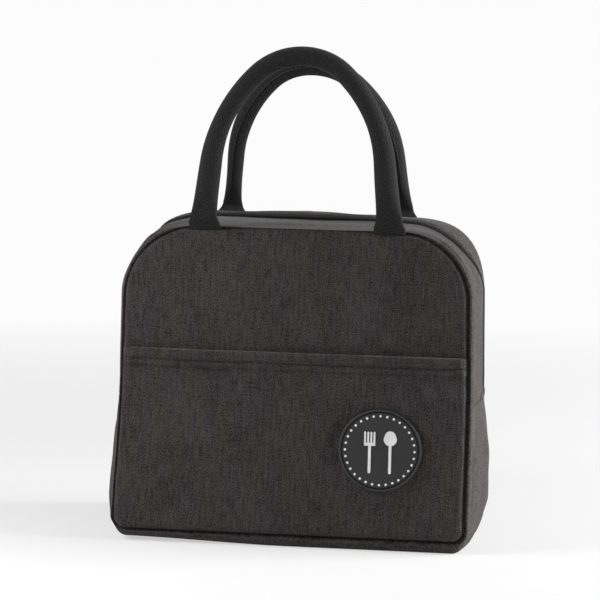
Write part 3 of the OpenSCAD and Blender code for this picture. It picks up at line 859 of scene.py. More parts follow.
# more columns beside the zip, where the cloth's edge rolls down: how far each is from the edge
LIP_COLUMNS = np.array([3.0, 2.4, 1.9, 1.4, 0.95, 0.55, 0.22]) * MM


class Section:
    """The section of a strip from its seam to y = edge, at every place along its path.

    y and rise are the place across and the share of the rim's height; out is how much of the
    surface's outward direction points away from the bag; across is the length on the cloth."""

    def __init__(self, path, up, edge):
        rim, swell, rim_in = (a[:, None] for a in rim_and_swell(path, up))
        turn = np.linspace(0, np.pi / 2, RIM_STEPS)
        even = np.linspace(0, 1, FLAT_STEPS)[1:]
        close = 1 - LIP_COLUMNS / (face_y - LEG_RIM_IN - edge)
        flat = np.unique(np.concatenate([even, close if up > 0 else []]))
        cos = np.concatenate([np.cos(turn), 0 * flat])[None, :]
        self.rise = np.concatenate([np.sin(turn), 0 * flat + 1])[None, :]
        share = np.concatenate([0 * turn, flat])[None, :]
        self.y = (face_y - rim_in + rim_in * cos) * (1 - share) + edge * share
        self.out = self.rise / rim / np.hypot(self.rise / rim, cos / rim_in)
        steps = np.hypot(np.diff(self.y, axis=1), np.diff(self.rise * rim, axis=1))
        self.across = np.pad(np.cumsum(steps, axis=1), ((0, 0), (1, 0)))
        self.from_seam = self.across

    def both_sides(self):
        """The same section, carried on to the seam on the other side."""
        whole = 2 * self.across[:, -1:]
        for name in ("rise", "out", "from_seam"):
            half = getattr(self, name)
            setattr(self, name, np.concatenate([half, half[:, -2::-1]], 1))
        self.y = np.concatenate([-self.y, self.y[:, -2::-1]], 1)
        self.across = np.concatenate([self.across, whole - self.across[:, -2::-1]], 1)
        return self


class Band:
    """A plain level section at the given places y, for the tapes that lie under the cloth."""

    def __init__(self, y):
        self.y = np.atleast_1d(y)[None, :]
        self.rise, self.out = 0 * self.y + 1, 0 * self.y + 1
        self.across = np.abs(self.y)
        self.from_seam = 0 * self.y + face_y


# %% [markdown]
# Sewing and use leave shapes on a strip. At the fold a short seam crosses it and dents the
# cloth, which bulges just below. Beside the zip the cloth's edge is rolled down. On top the zip
# is pulled to the front, so the front strip dips and the back one rises. In the right corner
# the cloth has a crease along the seam, and the back strip is a soft pillow. All this could be
# sculpted by hand. As bell curves and slopes, each shape has a place and a size that can be
# read and changed.
# %% What sewing leaves on a strip
CROSS_SEAM_DEPTH, CROSS_SEAM_REACH = 1.7 * MM, 0.7 * MM
CROSS_SEAM_AT_RIM = 0.25
CROSS_SEAM_SHARE = (0.35, 1)
BULGE, BULGE_AT, BULGE_REACH = 0.8 * MM, 2.5 * MM, 3 * MM
ZIP_EDGE = 4.75 * MM
ZIP_LIP, LIP_REACH, LIP_POWER = 1.0 * MM, 2.2 * MM, 1.5
ZIP_TILT, TILT_BETWEEN = 1.9 * MM, 0.5
TILT_FROM, TILT_OVER, TILT_FADE = 0.1, 0.5, 30 * MM
PILLOW = 2.0 * MM
CREASE, CREASE_AT, CREASE_REACH = 1.3 * MM, 5.6 * MM, 1.3 * MM
CREASE_FADE_FROM, CREASE_FADE_OVER = 0.75, 0.2


def cross_seam(x, z, up, inner):
    """The dent of the cross seam, a bell curve about the fold that is weaker on the rims and
    on the left, less the bulge below it on the right, another bell curve beside it."""
    from_fold = np.abs(z - fold_z)
    dent = (CROSS_SEAM_DEPTH * np.exp(-(from_fold / CROSS_SEAM_REACH) ** 2)
            * (CROSS_SEAM_AT_RIM + (1 - CROSS_SEAM_AT_RIM) * inner))
    beside = np.exp(-((from_fold - BULGE_AT) / BULGE_REACH) ** 2)
    return dent * left_or_right(x, CROSS_SEAM_SHARE) - BULGE * (up < 0) * (x > 0) * beside * inner


def zip_tilt(x, y, nz, side):
    """How far the top strips rise or dip: straight from the middle of the zip to its edge,
    then fading to the rim, most in the middle of the bag, and nothing on the legs."""
    tilt = ZIP_TILT * (TILT_BETWEEN + (1 - TILT_BETWEEN) * hump(x))
    tilt = tilt * smooth((nz - TILT_FROM) / TILT_OVER)
    return tilt * side * np.clip(y / ZIP_EDGE, 0, 1) * smooth((face_y - TOP_RIM_IN - y) / TILT_FADE)


def pillow(x, y, bend, side):
    """The back strip's swelling in the right corner: 4 h (1 - h) between zip edge and seam."""
    half = np.clip((y - ZIP_EDGE) / (face_y - ZIP_EDGE), 0, 1)
    return PILLOW * (side > 0) * (x > 0) * 4 * half * (1 - half) * bend


def seam_crease(x, nz, from_seam, up):
    """The crease along the seam round the right corner: a bell curve that ends on top."""
    fade = 1 - smooth((nz - CREASE_FADE_FROM) / CREASE_FADE_OVER)
    return (CREASE * (up > 0) * (x > 0) * fade
            * np.exp(-((from_seam - CREASE_AT) / CREASE_REACH) ** 2))


# %% [markdown]
# With path and section ready, one function gives the points of any layer. It adds up what the
# helpers above give, a little slack and the groove along the seam.
# %% Surface of a strip
GROOVE_REACH = 1.25 * MM
CROWN_POWER, FLOOR_FLATTER = 2, 6
RIM_BAND = 16 * MM
STRIP_SLACK, SLACK_FROM_ZIP = 0.45 * MM, 14 * MM
STRIP_WAVES = 24 * MM, 70 * MM
OPENING, LEAST_LIFT = 3 * MM, 0.8 * MM
STOP_SHARE = 0.2


def strip_surface(path, up, side, section, depth, seed=0, lip=0.0, behind=False):
    """The points of a strip at a depth below its outer face, as a grid along x across.

    It stands out by rim * rise + (swell - rim) * (1 - (y / Y)^p), plus slack, less what the
    sewing leaves, and never less than LEAST_LIFT beside the seam. Its y moves in by the
    groove. Foam and foil stay behind the groove, where only the cloth has room."""
    x, z, nx, nz, along = (a[:, None] for a in path)
    rim, swell, rim_in = (a[:, None] for a in rim_and_swell(path, up))
    y = np.abs(section.y)
    floor = np.maximum(-nz, 0) ** 2
    power = CROWN_POWER + FLOOR_FLATTER * floor
    crown = (swell - rim) * (1 - np.clip(y / (face_y - rim_in), 0, 1) ** power)
    inner = smooth((face_y - y) / RIM_BAND)
    cross = cross_seam(x, z, up, inner)
    slack = waves(along + 0 * y, section.across + 0 * x, seed, STRIP_SLACK, *STRIP_WAVES)
    slack = slack * inner * (1 - floor)
    if up > 0:
        slack = slack * smooth((y - ZIP_EDGE) / SLACK_FROM_ZIP)
        crown = crown + zip_tilt(x, y, nz, side)
        crown = crown + pillow(x, y, (2 * nx * nz) ** 2, side)
    roll = lip * smooth(1 - (y - ZIP_EDGE) / LIP_REACH) ** LIP_POWER
    crease = seam_crease(x, nz, section.from_seam, up)
    share = seam_share(x, z)
    stop = face_y - SEAM_DEPTH * share - STOP_SHARE * depth
    depth = depth * squeeze(section.from_seam, STRIP_SQUEEZE)
    open_share = smooth(section.from_seam / OPENING)
    out = section.out * open_share
    lift = rim * section.rise + crown - cross * section.rise + slack - roll - crease
    e = np.maximum(lift, LEAST_LIFT * open_share) - depth * out
    groove = seam_groove(share, section.from_seam, GROOVE_REACH)
    y_in = y - groove - depth * np.sqrt(1 - out ** 2)
    y_in = np.minimum(y_in, stop) if behind else y_in
    y_in = y_in * (np.sign(section.y) if up < 0 else side)
    return np.stack([stand(x, z) + e * nx, y_in + 0 * x, settle(z) + e * nz], -1)


# %% [markdown]
# The strip over the bag ends in a lip beside the zip, where the cloth is turned under. The one
# under the bag has a seam on both sides, so its section is one side and its mirror image.
# %% The three gussets
TAPE_HALF = 16 * MM
TAPE_GAP = 0.1 * MM
TAPE_STEP_OVER = 3 * MM
STRIP_EDGES = {"cloth": ZIP_EDGE, "padding": 6.0 * MM, "foil": 5.0 * MM}


def strip_layer(name, up, side, layer, start, end, finish, seed):
    """One layer of a gusset between two depths. Beside the zip the cloth's edge rolls down on
    the zip's tape, and the foam leaves room for the tape."""
    path = strip_path(up)
    section = Section(path, up, STRIP_EDGES[layer] if up > 0 else 0.0)
    section = section if up > 0 else section.both_sides()
    y = np.abs(section.y)
    outer_depth, inner_depth, lip = start + 0 * y, end + 0 * y, 0.0
    if up > 0 and layer == "cloth":
        lip = ZIP_LIP
        inner_depth = end + (TAPE_TOP - TAPE_GAP - end) * smooth(1 - (y - ZIP_EDGE) / LIP_REACH)
    if up > 0 and layer == "padding":
        room = TAPE_BOTTOM + TAPE_GAP - start
        outer_depth = start + room * smooth(1 - (y - TAPE_HALF) / TAPE_STEP_OVER)
    behind = layer != "cloth"
    outer = strip_surface(path, up, side, section, outer_depth, seed, lip, behind)
    inner = strip_surface(path, up, side, section, inner_depth, seed, 0.0, behind)
    along = path[4][:, None]
    made = piece(name, facing_out(shell(outer, inner, section.across, along)), finish)
    return made, (section.across.max(), along.max())


def gusset(up, side, word, seed):
    """Cloth, foam and lining of one strip."""
    for layer, start, end, finish, slot, _, node in LAYERS:
        finish = gusset_cloth if layer == "cloth" else finish
        made, flat = strip_layer(f"{word}_{layer}", up, side, layer, start, end, finish,
                                 seed)
        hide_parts(word + node)
        if up < 0:
            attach(made, "bag_body")
        else:
            bend_with_mouth(made)


gusset(up=-1, side=0, word="lower_gusset", seed=31)
gusset(up=1, side=-1, word="front_gusset", seed=37)
gusset(up=1, side=1, word="back_gusset", seed=41)

# %% [markdown]
# ## The pocket
# The pocket is a second cloth on the front panel, sewn into the same seams at its sides and
# bottom. Its top edge is folded over twice and stitched, so it is thicker there, puckers a
# little along the stitches, and stands off the panel enough to throw a thin shadow. Where the
# badge is sewn on, the cloth lies flat. A bump could draw the hem on the panel, but it would
# throw no shadow and have no mouth, so the pocket is a cloth of its own.
# %% Relief of the pocket
HEM, HEM_EDGE = 11 * MM, 1.2 * MM
ROUND_OVER_EDGE, EDGE_SHARE = 1.1 * MM, 0.35
STITCH_DROP, STITCH_DENT = 7 * MM, 0.9 * MM
RIPPLE, RIPPLE_REACH, RIPPLE_DRAWN_OUT = 0.2 * MM, 6.5 * MM, 0.25
RIPPLE_WAVES = 6.5 * MM, 12 * MM, 10
POCKET_T, HEM_T = 1.25 * MM, 1.6 * MM
SEWN_SHARE = 0.4
MOUTH_GAP, GAPE, GAPE_WAVES = 2.5 * MM, 0.45, (28 * MM, 70 * MM)
GAP_FROM, GAP_OVER = 6 * MM, 14 * MM
POCKET_SLACK, POCKET_WAVES = 0.45 * MM, (40 * MM, 110 * MM)
# how far from the side seam the slack, the gap, the thickness and the ripples are full
SLACK_IN, GAP_IN, THICK_IN, RIPPLE_IN = 22 * MM, 20 * MM, 6 * MM, 5 * MM
BADGE_FLAT, BADGE_FADE, BADGE_SUNK = 12 * MM, 11 * MM, 0.05 * MM
RIPPLE_SEED, SLACK_SEED, GAPE_SEED = 53, 57, 59
badge_centre = (badge_low + badge_high) / 2
badge_r = (badge_high.x - badge_low.x) / 2
badge_seat = face_y + POCKET_T - BADGE_SUNK
stitch_z = pocket_top - STITCH_DROP


def pocket_thickness(x, z, d):
    """The cloth's thickness, with the hem's second layer and less the dent of the stitch line,
    a bell curve; thin at the side seams, round at the top edge, and rippled at the stitches."""
    in_hem = smooth((z - (pocket_top - HEM)) / HEM_EDGE + 0.5)
    round_edge = np.clip((pocket_top - z) / ROUND_OVER_EDGE, 0, 1)
    round_edge = np.sqrt(1 - (1 - round_edge) ** 2)
    stitched = np.exp(-((z - stitch_z) / STITCH_DENT) ** 2)
    ripples = waves(x, RIPPLE_DRAWN_OUT * z, RIPPLE_SEED, 1.0, *RIPPLE_WAVES)
    near_hem = np.exp(-((z - stitch_z) / RIPPLE_REACH) ** 2)
    thick = POCKET_T + HEM_T * in_hem - HEM_T * stitched
    thick = thick * (SEWN_SHARE + (1 - SEWN_SHARE) * smooth(d / THICK_IN))
    return (thick * (EDGE_SHARE + (1 - EDGE_SHARE) * round_edge)
            + RIPPLE * ripples * near_hem * smooth(d / RIPPLE_IN))


def pocket_relief(x, z):
    """How far the pocket's outer face lies in front of the flat front plane.

    The panel's own relief, plus the cloth's thickness, plus slack, plus a gap that grows to
    the mouth and varies along it; and level under the badge."""
    d = edge_distance(x, z)
    slack = waves(x, z, SLACK_SEED, POCKET_SLACK, *POCKET_WAVES) * smooth(d / SLACK_IN)
    gape = 1 + GAPE * waves(x, 0 * z, GAPE_SEED, 1.0, *GAPE_WAVES)
    stand_off = MOUTH_GAP * gape * smooth((z - stitch_z + GAP_FROM) / GAP_OVER)
    stand_off = stand_off * smooth(d / GAP_IN)
    relief = pocket_thickness(x, z, d) + slack + stand_off - panel_relief(x, z, FRONT_SEED)
    r = np.hypot(stand(x, z) - badge_centre.x, z - badge_centre.z)
    flat = smooth((badge_r + BADGE_FLAT - r) / BADGE_FADE)
    return relief * (1 - flat) + (badge_seat - face_y) * flat


# %% [markdown]
# The pocket's inner face follows the panel a little way in front of it, and never comes closer
# to the outer face than the cloth is thick. Extra rows crowd at the hem, where the cloth bends
# most.
# %% Pocket cloth
POCKET_COLUMNS = 230
HEM_ROWS = np.concatenate([np.array([0, .08, .25, .5, .8, 1.1]), np.arange(1.5, 14, 0.42)]) * MM
OFF_PANEL, LEAST_POCKET_T = 0.05 * MM, 0.45 * MM

z = panel_rows(pocket_top, pocket_top - HEM_ROWS)[:, None]
x = panel_columns(POCKET_COLUMNS, z)
face = pocket_relief(x, z + 0 * x)
behind = -panel_relief(x, z + 0 * x, FRONT_SEED) + OFF_PANEL
behind = np.minimum(behind, face - LEAST_POCKET_T)
grids = [np.stack([stand(x, z), -(face_y + a), settle(z) + 0 * x], -1) for a in (face, behind)]
pocket = piece("pocket_cloth", facing_out(shell(*grids, x, z)), outer_cloth,
               SEWN_SHARP)
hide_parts("pocket_lower", "pocket_upper")
bend_with_mouth(pocket)

# %% [markdown]
# ## Stitches
# Each stitch is one little rod lying on the cloth, sunk to half its height. A row of them needs
# only the surface's own function: the height at each stitch gives its place, and the step to
# the next stitch its direction. Dashes drawn in the cloth's finish would do from far off, but
# rods catch the light from every side, and cost little.
# %% Rows of stitches
STITCH = 3.0 * MM
STITCH_FILL = 0.8
THREAD, THREAD_H = 0.5 * MM, 0.9
HEM_STITCH_LIFT = 0.04 * MM
HEM_STITCH_END = 4 * MM
HEM_POINTS = 400


def length_along(line):
    """The length of a line of points up to each of them."""
    return running(np.linalg.norm(np.diff(line, axis=0), axis=1))


def steps_along(line, pitch):
    """Places at even steps along a line of points, the line's direction there, and the lengths
    where they are."""
    length = length_along(line)
    at = np.arange(pitch / 2, length[-1], pitch)
    place = np.stack([np.interp(at, length, line[:, k]) for k in range(3)], -1)
    ahead = np.stack([np.interp(at + pitch / 4, length, line[:, k])
                      - np.interp(at - pitch / 4, length, line[:, k]) for k in range(3)], -1)
    return place, ahead / np.linalg.norm(ahead, axis=1, keepdims=True), at


def frames(ahead, out):
    """Three axes at each place: along the line, sideways, and out of the surface."""
    side = np.cross(out, ahead)
    side /= np.linalg.norm(side, axis=1, keepdims=True)
    return np.stack([ahead, side, np.cross(ahead, side)], 1)


def stitch_row(line, out):
    """One row of stitches on a line of points, with the surface's outward direction."""
    place, ahead, _ = steps_along(line, STITCH)
    out = np.broadcast_to(np.asarray(out, float), place.shape)
    return repeat(rod(STITCH * STITCH_FILL, THREAD, THREAD * THREAD_H), place,
                  frames(ahead, out))


x = np.linspace(-half_w + HEM_STITCH_END, half_w - HEM_STITCH_END, HEM_POINTS)
z = np.full_like(x, stitch_z)
line = np.stack([stand(x, z), -(face_y + pocket_relief(x, z) + HEM_STITCH_LIFT), settle(z)], -1)
hem_stitches = piece("hem_stitches", stitch_row(line, (0, -1, 0)), thread, SEWN_SHARP)
bend_with_mouth(hem_stitches)

# %% [markdown]
# ## The zip
# A coil zip has two woven tapes under the cloth's edges, and along each tape a row of small
# nylon loops that hook between those of the other row. The real row is one wire wound in a
# coil, which a long helix could follow. A rod across the slot for each loop looks the same from
# outside with far fewer faces; the rows are half a pitch apart, so they mesh. They stand up a
# little, except on the left leg, where the slider's plates hold them down. Inside the slider
# the loops are lower and the rows further apart, as a slider opens them.
# %% Tapes and coil
TAPE_EDGE, TAPE_COLUMNS = 0.3 * MM, 14
COIL_PITCH = 1.45 * MM
COIL_H, COIL_W = 1.35 * MM, 0.72 * MM
COIL_LIFT, LOW_FROM, LOW_OVER = 0.9 * MM, 90 * MM, 20 * MM
COIL_REACH, COIL_HOOK = 2.9 * MM, 0.25 * MM
COIL_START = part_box("front_zip_teeth")[0].z + 0.7 * MM
SLIDER_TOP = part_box("zip_slider")[1].z + 2 * MM
SLIDER_PARTS, SLIDER_FLATTENS = 0.3 * MM, 0.75
TOPSTITCH_FROM_EDGE, TOPSTITCH_LIFT, TOPSTITCH_ENDS = 3.2 * MM, 0.05 * MM, 3


def zip_line(side, y, depth):
    """The line along a strip at one y and depth."""
    return strip_surface(strip_path(1), 1, side, Band(y), depth)[:, 0]


def out_at(at, line, rows=slice(None)):
    """The outward direction of the zip's path at lengths along a line that follows its rows."""
    nx, nz = (np.interp(at, length_along(line), a[rows]) for a in strip_path(1)[2:4])
    return np.stack([nx, 0 * nx, nz], -1)


def coil_row(side):
    """The loops of one row, each along y across the slot, a quarter pitch on or back."""
    low = smooth((-strip_path(1)[0] - LOW_FROM) / LOW_OVER)
    lift = COIL_LIFT * (1 - low)[:, None]
    line = zip_line(side, COIL_REACH / 2 - COIL_HOOK, TAPE_TOP - COIL_H / 2 - lift)
    place, ahead, at = steps_along(line, COIL_PITCH)
    axes = frames(ahead, out_at(at, line))[:, [1, 0, 2]]
    place = place + ahead * COIL_PITCH / 4 * side
    used = place[:, 2] > COIL_START
    in_slider = (place[:, 2] < SLIDER_TOP) & (place[:, 0] < 0)
    place[in_slider, 1] += side * SLIDER_PARTS
    axes[in_slider, 2] *= SLIDER_FLATTENS
    print("coil loops in a row:", used.sum())
    points, faces, marks = rod(COIL_REACH + 2 * COIL_HOOK, COIL_W, COIL_H)
    # these axes are left-handed, so each face is turned round
    return repeat((points, faces[:, ::-1], marks[:, ::-1]), place[used], axes[used])


def zip_half(side, word):
    """The tape, the row of coil loops and the topstitching on one side."""
    path = strip_path(1)
    band = Band(np.linspace(TAPE_HALF, TAPE_EDGE, TAPE_COLUMNS))
    grids = [strip_surface(path, 1, side, band, depth) for depth in (TAPE_TOP, TAPE_BOTTOM)]
    tape = piece(f"{word}_zip_band", facing_out(shell(*grids, path[4][:, None], band.y)),
                 zip_cloth)
    coil = piece(f"{word}_zip_coil", coil_row(side), coil_nylon, SEWN_SHARP)
    rows = slice(TOPSTITCH_ENDS, -TOPSTITCH_ENDS)
    line = zip_line(side, ZIP_EDGE + TOPSTITCH_FROM_EDGE, -TOPSTITCH_LIFT)[rows]
    row = stitch_row(line, out_at(steps_along(line, STITCH)[2], line, rows))
    topstitch = piece(f"{word}_zip_stitches", row, thread, SEWN_SHARP)
    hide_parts(f"{word}_zip_tape")
    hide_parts(f"{word}_zip_teeth")
    for made in (tape, coil, topstitch):
        bend_with_mouth(made)


zip_half(-1, "front")
zip_half(1, "back")

# %% [markdown]
# ## Slider, pull and stops
# The CAD holds the slider and its pull at their real size and with their real gaps, so they
# stay as they are and only get their finish: black nickel plating. The stops are little metal
# bars clamped on the coil: one on each tape where the slider ends, and one across both tapes at
# the other end.
# %% Metal parts of the zip
def dress(node, finish):
    """Gives a piece of the frame its finish, and leaves its shape alone."""
    shown = frame["nodes"][node]
    shown.data.materials.clear()
    shown.data.materials.append(finish)


for node in ("zip_slider", "zip_pull"):
    dress(node, black_nickel)

TOP_STOP, TOP_STOP_AT = (2.0 * MM, 1.7 * MM, 2.0 * MM), 1.7 * MM
BOTTOM_STOP = (5.6 * MM, 1.8 * MM, 2.0 * MM)
UPRIGHT = np.array([[0, 0, 1.0], [0, 1, 0], [-1, 0, 0]])
CROSSWISE = np.array([[0, 1.0, 0], [0, 0, 1], [1, 0, 0]])

ends = zip_line(1, 0.0, TAPE_TOP - COIL_H / 2)[[0, -1]]
stop_z = (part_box("zip_stops")[0].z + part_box("zip_stops")[1].z) / 2
places = np.array([[ends[0, 0], y, stop_z] for y in (-TOP_STOP_AT, TOP_STOP_AT)])
tops = repeat(rod(*TOP_STOP, sides=12, rings=7), places, np.stack([UPRIGHT, UPRIGHT]))
place = np.array([[ends[1, 0], 0, stop_z]])
bottom = repeat(rod(*BOTTOM_STOP, sides=12, rings=9), place, CROSSWISE[None])
stops = piece("zip_end_stops", [tops, bottom], black_nickel, sharp=50)
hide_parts("zip_stops")
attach(stops, "bag_body")

# %% [markdown]
# ## Binding inside
# The raw edges of the seams are wrapped in a ribbed tape. It is a flat tube with round edges
# carried along the whole outline, once round for each panel, and a short flat one along the
# inside of each side seam. A bevelled curve would do as well. The tube helper is used because
# it also marks the lengths along and around in metres, which the ribs of the finish need.
# %% Seam bindings
BINDING_W, BINDING_EASE = 9 * MM, 0.4 * MM
BINDING_SIDES, BINDING_SQUARENESS = 20, 4
BINDING_WANDER, WANDER_WAVES, WANDER_SEED = 0.25 * MM, (20 * MM, 60 * MM), 61
SIDE_BINDING_FROM, SIDE_BINDING_TO = 0.3 * MM, 2.5 * MM
SIDE_BINDING_SHORT, SIDE_BINDING_COLUMNS = 0.5 * MM, 60
ON_LEG = 1e-6


def power_of(wave, power):
    """|wave|^(2/p) with the wave's own sign, which squares a circle's sine or cosine off."""
    return np.sign(wave) * np.abs(wave) ** (2 / power)


def whole_outline():
    """The seam line once round: the path over the top and the path under the floor, back."""
    over = strip_path(1, legs=30, arcs=30, across=30)
    under = strip_path(-1, legs=24, arcs=14, across=30)
    joined = [np.concatenate([a[:-1], b[:0:-1]]) for a, b in zip(over[:4], under[:4])]
    return (*joined, running(np.hypot(np.diff(joined[0]), np.diff(joined[1]))))


def binding(word):
    """The bound edge along one panel's seam, inside the bag: a flat ring with round ends,
    carried along the outline at half its width inside the seam."""
    low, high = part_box(f"{word}_binding_lower")
    x, z, nx, nz, along = (a[:, None] for a in whole_outline())
    turn = np.arange(BINDING_SIDES) * 2 * np.pi / BINDING_SIDES
    a = power_of(np.cos(turn), BINDING_SQUARENESS) * (BINDING_W - BINDING_EASE) / 2
    b = power_of(np.sin(turn), BINDING_SQUARENESS) * (high.y - low.y) / 2
    e = a[None, :] - BINDING_W / 2
    y = b[None, :] + (low.y + high.y) / 2
    wander = waves(along, 0 * along, WANDER_SEED, BINDING_WANDER, *WANDER_WAVES)
    rings = np.stack([stand(x, z) + e * nx, y + 0 * x + wander, settle(z) + e * nz], -1)
    around = np.linspace(0, 2 * BINDING_W, BINDING_SIDES + 1)[:-1]
    made = piece(f"{word}_seam_binding", facing_out(tube(rings, along[:, 0], around, True)),
                 seam_binding)
    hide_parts(f"{word}_binding_lower", f"{word}_binding_upper")
    bend_with_mouth(made)


def side_binding():
    """The two short bound edges inside the side seams, each following the lining."""
    low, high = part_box("side_bindings")
    path = strip_path(-1)
    y = np.linspace(low.y, high.y, SIDE_BINDING_COLUMNS)
    inside = [strip_surface(path, -1, 0, Band(y), WALL + depth)
              for depth in (SIDE_BINDING_FROM, SIDE_BINDING_TO)]
    solids = []
    for leg in (path[0] < -half_w + ON_LEG, path[0] > half_w - ON_LEG):
        rows = leg & (path[1] > low.z) & (path[1] < high.z - SIDE_BINDING_SHORT)
        grids = [grid[rows] for grid in inside]
        solids.append(facing_out(shell(*grids, path[1][rows][:, None], y[None, :])))
    made = piece("side_seam_bindings", solids, seam_binding)
    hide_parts("side_bindings")
    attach(made, "bag_body")


binding("front")
binding("back")
side_binding()

# %% [markdown]
# ## The handles
# A handle is webbing folded round a rope and sewn shut along the inside, so its middle is a
# round tube, and its ends, where the rope stops, are flat and go down into the top seam. One
# path carries it: a straight leg, a wide shoulder, a tighter crown, and the same back down.
# %% Path of a handle
FOLD = np.array(joints["front_handle_fold"]["pos_m"])
SPREAD = 119 * MM
LEG = 36 * MM
LEG_TILT = math.radians(6.3)
SHOULDER_R = 92 * MM
SHOULDER_TURN = math.radians(39.5)
BACK_LEAN = math.radians(22)
# the root's Bezier curve starts inside the seam and is steered just above it
ROOT_START, ROOT_STEER = (3.0 * MM, -6.0 * MM), (2.0 * MM, 3.0 * MM)
ROOT_TO_FOLD = 6.0 * MM
TINY = 1e-12


def arch(step=1.3 * MM):
    """The handle's middle line above its fold, in its own plane: places across and up.

    Leg: start + t * (-sin, cos) of the tilt. Shoulder: an arc of SHOULDER_R tangent to the
    leg. Crown: the arc about the middle that is tangent to the shoulder."""
    t = np.linspace(0, LEG, round(LEG / step))
    leg = np.stack([SPREAD / 2 - t * math.sin(LEG_TILT), t * math.cos(LEG_TILT)], -1)
    centre = leg[-1] - SHOULDER_R * np.array([math.cos(LEG_TILT), math.sin(LEG_TILT)])
    count = round(SHOULDER_R * SHOULDER_TURN / step)
    turn = LEG_TILT + np.linspace(0, SHOULDER_TURN, count)[1:, None]
    shoulder = centre + SHOULDER_R * np.hstack([np.cos(turn), np.sin(turn)])
    crown_turn = LEG_TILT + SHOULDER_TURN
    crown_r = shoulder[-1, 0] / math.cos(crown_turn)
    middle = np.array([0, shoulder[-1, 1] - crown_r * math.sin(crown_turn)])
    count = round(crown_r * (math.pi / 2 - crown_turn) / step)
    turn = np.linspace(crown_turn, np.pi / 2, count)[1:, None]
    crown = middle + crown_r * np.hstack([np.cos(turn), np.sin(turn)])
    half = np.concatenate([leg, shoulder, crown])
    return np.concatenate([half, half[-2::-1] * [-1, 1]])


def handle_root(lean, count=16):
    """The webbing's way from inside the seam out to the fold: a Bezier curve in y and z."""
    fold = np.array([abs(FOLD[1]), FOLD[2]])
    t = np.linspace(0, 1, count)[:, None]
    up = np.array([-math.sin(lean), math.cos(lean)])
    start, steer = (np.array([face_y - inside, settle(seam_top) + above])
                    for inside, above in (ROOT_START, ROOT_STEER))
    return ((1 - t) ** 3 * start + 3 * t * (1 - t) ** 2 * steer
            + 3 * t * t * (1 - t) * (fold - ROOT_TO_FOLD * up) + t ** 3 * fold)


def handle_plane(side, lean):
    """The middle of the handle's fold, and the way up in the plane that the handle stands in."""
    return (np.array([0, side * abs(FOLD[1]), FOLD[2]]),
            np.array([0, -side * math.sin(lean), math.cos(lean)]))


def handle_line(side, lean, sway):
    """The whole middle line in space: points, lengths along, heights above the folds, and the
    three directions at each point - along, broad (in the handle's plane) and outwards.

    sway moves the whole handle sideways, and its crown further, with the height squared."""
    line = arch()
    line[:, 0] += sway[0] + sway[1] * (line[:, 1] / line[:, 1].max()) ** 2
    fold, up = handle_plane(side, lean)
    above = fold + line[:, :1] * [1, 0, 0] + line[:, 1:] * up
    root = handle_root(lean)
    right, left = (np.stack([0 * root[:, 0] + x, side * root[:, 0], root[:, 1]], -1)[:-1]
                   for x in (SPREAD / 2 + sway[0], -SPREAD / 2 + sway[0]))
    points = np.concatenate([right, above, left[::-1]])
    along = length_along(points)
    height = np.minimum(along - along[len(right)], along[-1 - len(left)] - along)
    ahead = np.gradient(points, axis=0)
    ahead /= np.linalg.norm(ahead, axis=1, keepdims=True)
    plane = np.cross([1, 0, 0], up)
    bent = np.cross([1, 0, 0], ahead) * np.sign(ahead @ up)[:, None]
    bent /= np.linalg.norm(bent, axis=1, keepdims=True) + TINY
    outward = -side * np.where(height[:, None] < 0, bent, plane)
    broad = np.cross(outward, ahead)
    return points, along, height, np.stack([ahead, broad, outward], 1)


# %% [markdown]
# The section along the path goes from a flat oblong, wide where it spreads into the seam, to a
# circle round the rope. Along the inside of the handle, where the webbing's edges meet, a slit
# is pressed in. A bevelled curve would keep one shape of section, so the rings are worked out
# here one by one.
# %% Section of a handle
HANDLE_D = 12.4 * MM
SEAM_T = 2.2 * MM
FLAT_BELOW, ROUND_OVER = 8 * MM, 28 * MM
FLAT_SQUARENESS = 2.5
FLARE_W, FLARE_FROM, FLARE_OVER = 5.6 * MM, 5.5 * MM, 6.0 * MM
FLARE_MOST = 1.35
WIDE_TO, WIDE_FADE = 15 * MM, 50 * MM
UNEVEN, UNEVEN_WAVES, UNEVEN_SEED = 0.012, (18 * MM, 70 * MM), 71
SLIT_DEPTH, SLIT_ANGLE = 0.14, 0.11


def handle_section(along, height, leg_wider, seed):
    """Width, thickness and squareness at each height. The width is a round handle's, plus a
    flare that dies away as exp(-height / FLARE_OVER), plus leg_wider up to the shoulder."""
    shut = 1 - smooth((height + FLAT_BELOW) / ROUND_OVER)
    width = (HANDLE_D + FLARE_W * np.exp(-(height + FLARE_FROM) / FLARE_OVER)
             + leg_wider * (1 - smooth((height - WIDE_TO) / WIDE_FADE)))
    width = np.minimum(width, HANDLE_D + FLARE_MOST * FLARE_W)
    thick = HANDLE_D + (SEAM_T - HANDLE_D) * shut
    uneven = 1 + waves(along, 0 * along, seed, UNEVEN, *UNEVEN_WAVES)
    return width * uneven, thick, thick * uneven, 2 + FLAT_SQUARENESS * shut


def carried(points, axes, width, thick, power, sides, slit=0.0):
    """Rings carried along a line: |cos|^(2/p) of the width along the broad direction and
    |sin|^(2/p) of the thickness outwards, with a slit pressed in along the inner side."""
    turn = (np.arange(sides) + 0.5) * 2 * np.pi / sides - np.pi / 2
    width, thick, power = (np.broadcast_to(a, len(points))[:, None] for a in (width, thick, power))
    from_slit = np.abs(turn + np.pi / 2 - 2 * np.pi * (turn > np.pi / 2))[None, :]
    size = 1 - slit * np.exp(-(from_slit / SLIT_ANGLE) ** 2)
    a = power_of(np.cos(turn)[None, :], power) * width / 2 * size
    b = power_of(np.sin(turn)[None, :], power) * thick / 2 * size
    return points[:, None] + a[..., None] * axes[:, None, 1] + b[..., None] * axes[:, None, 2]


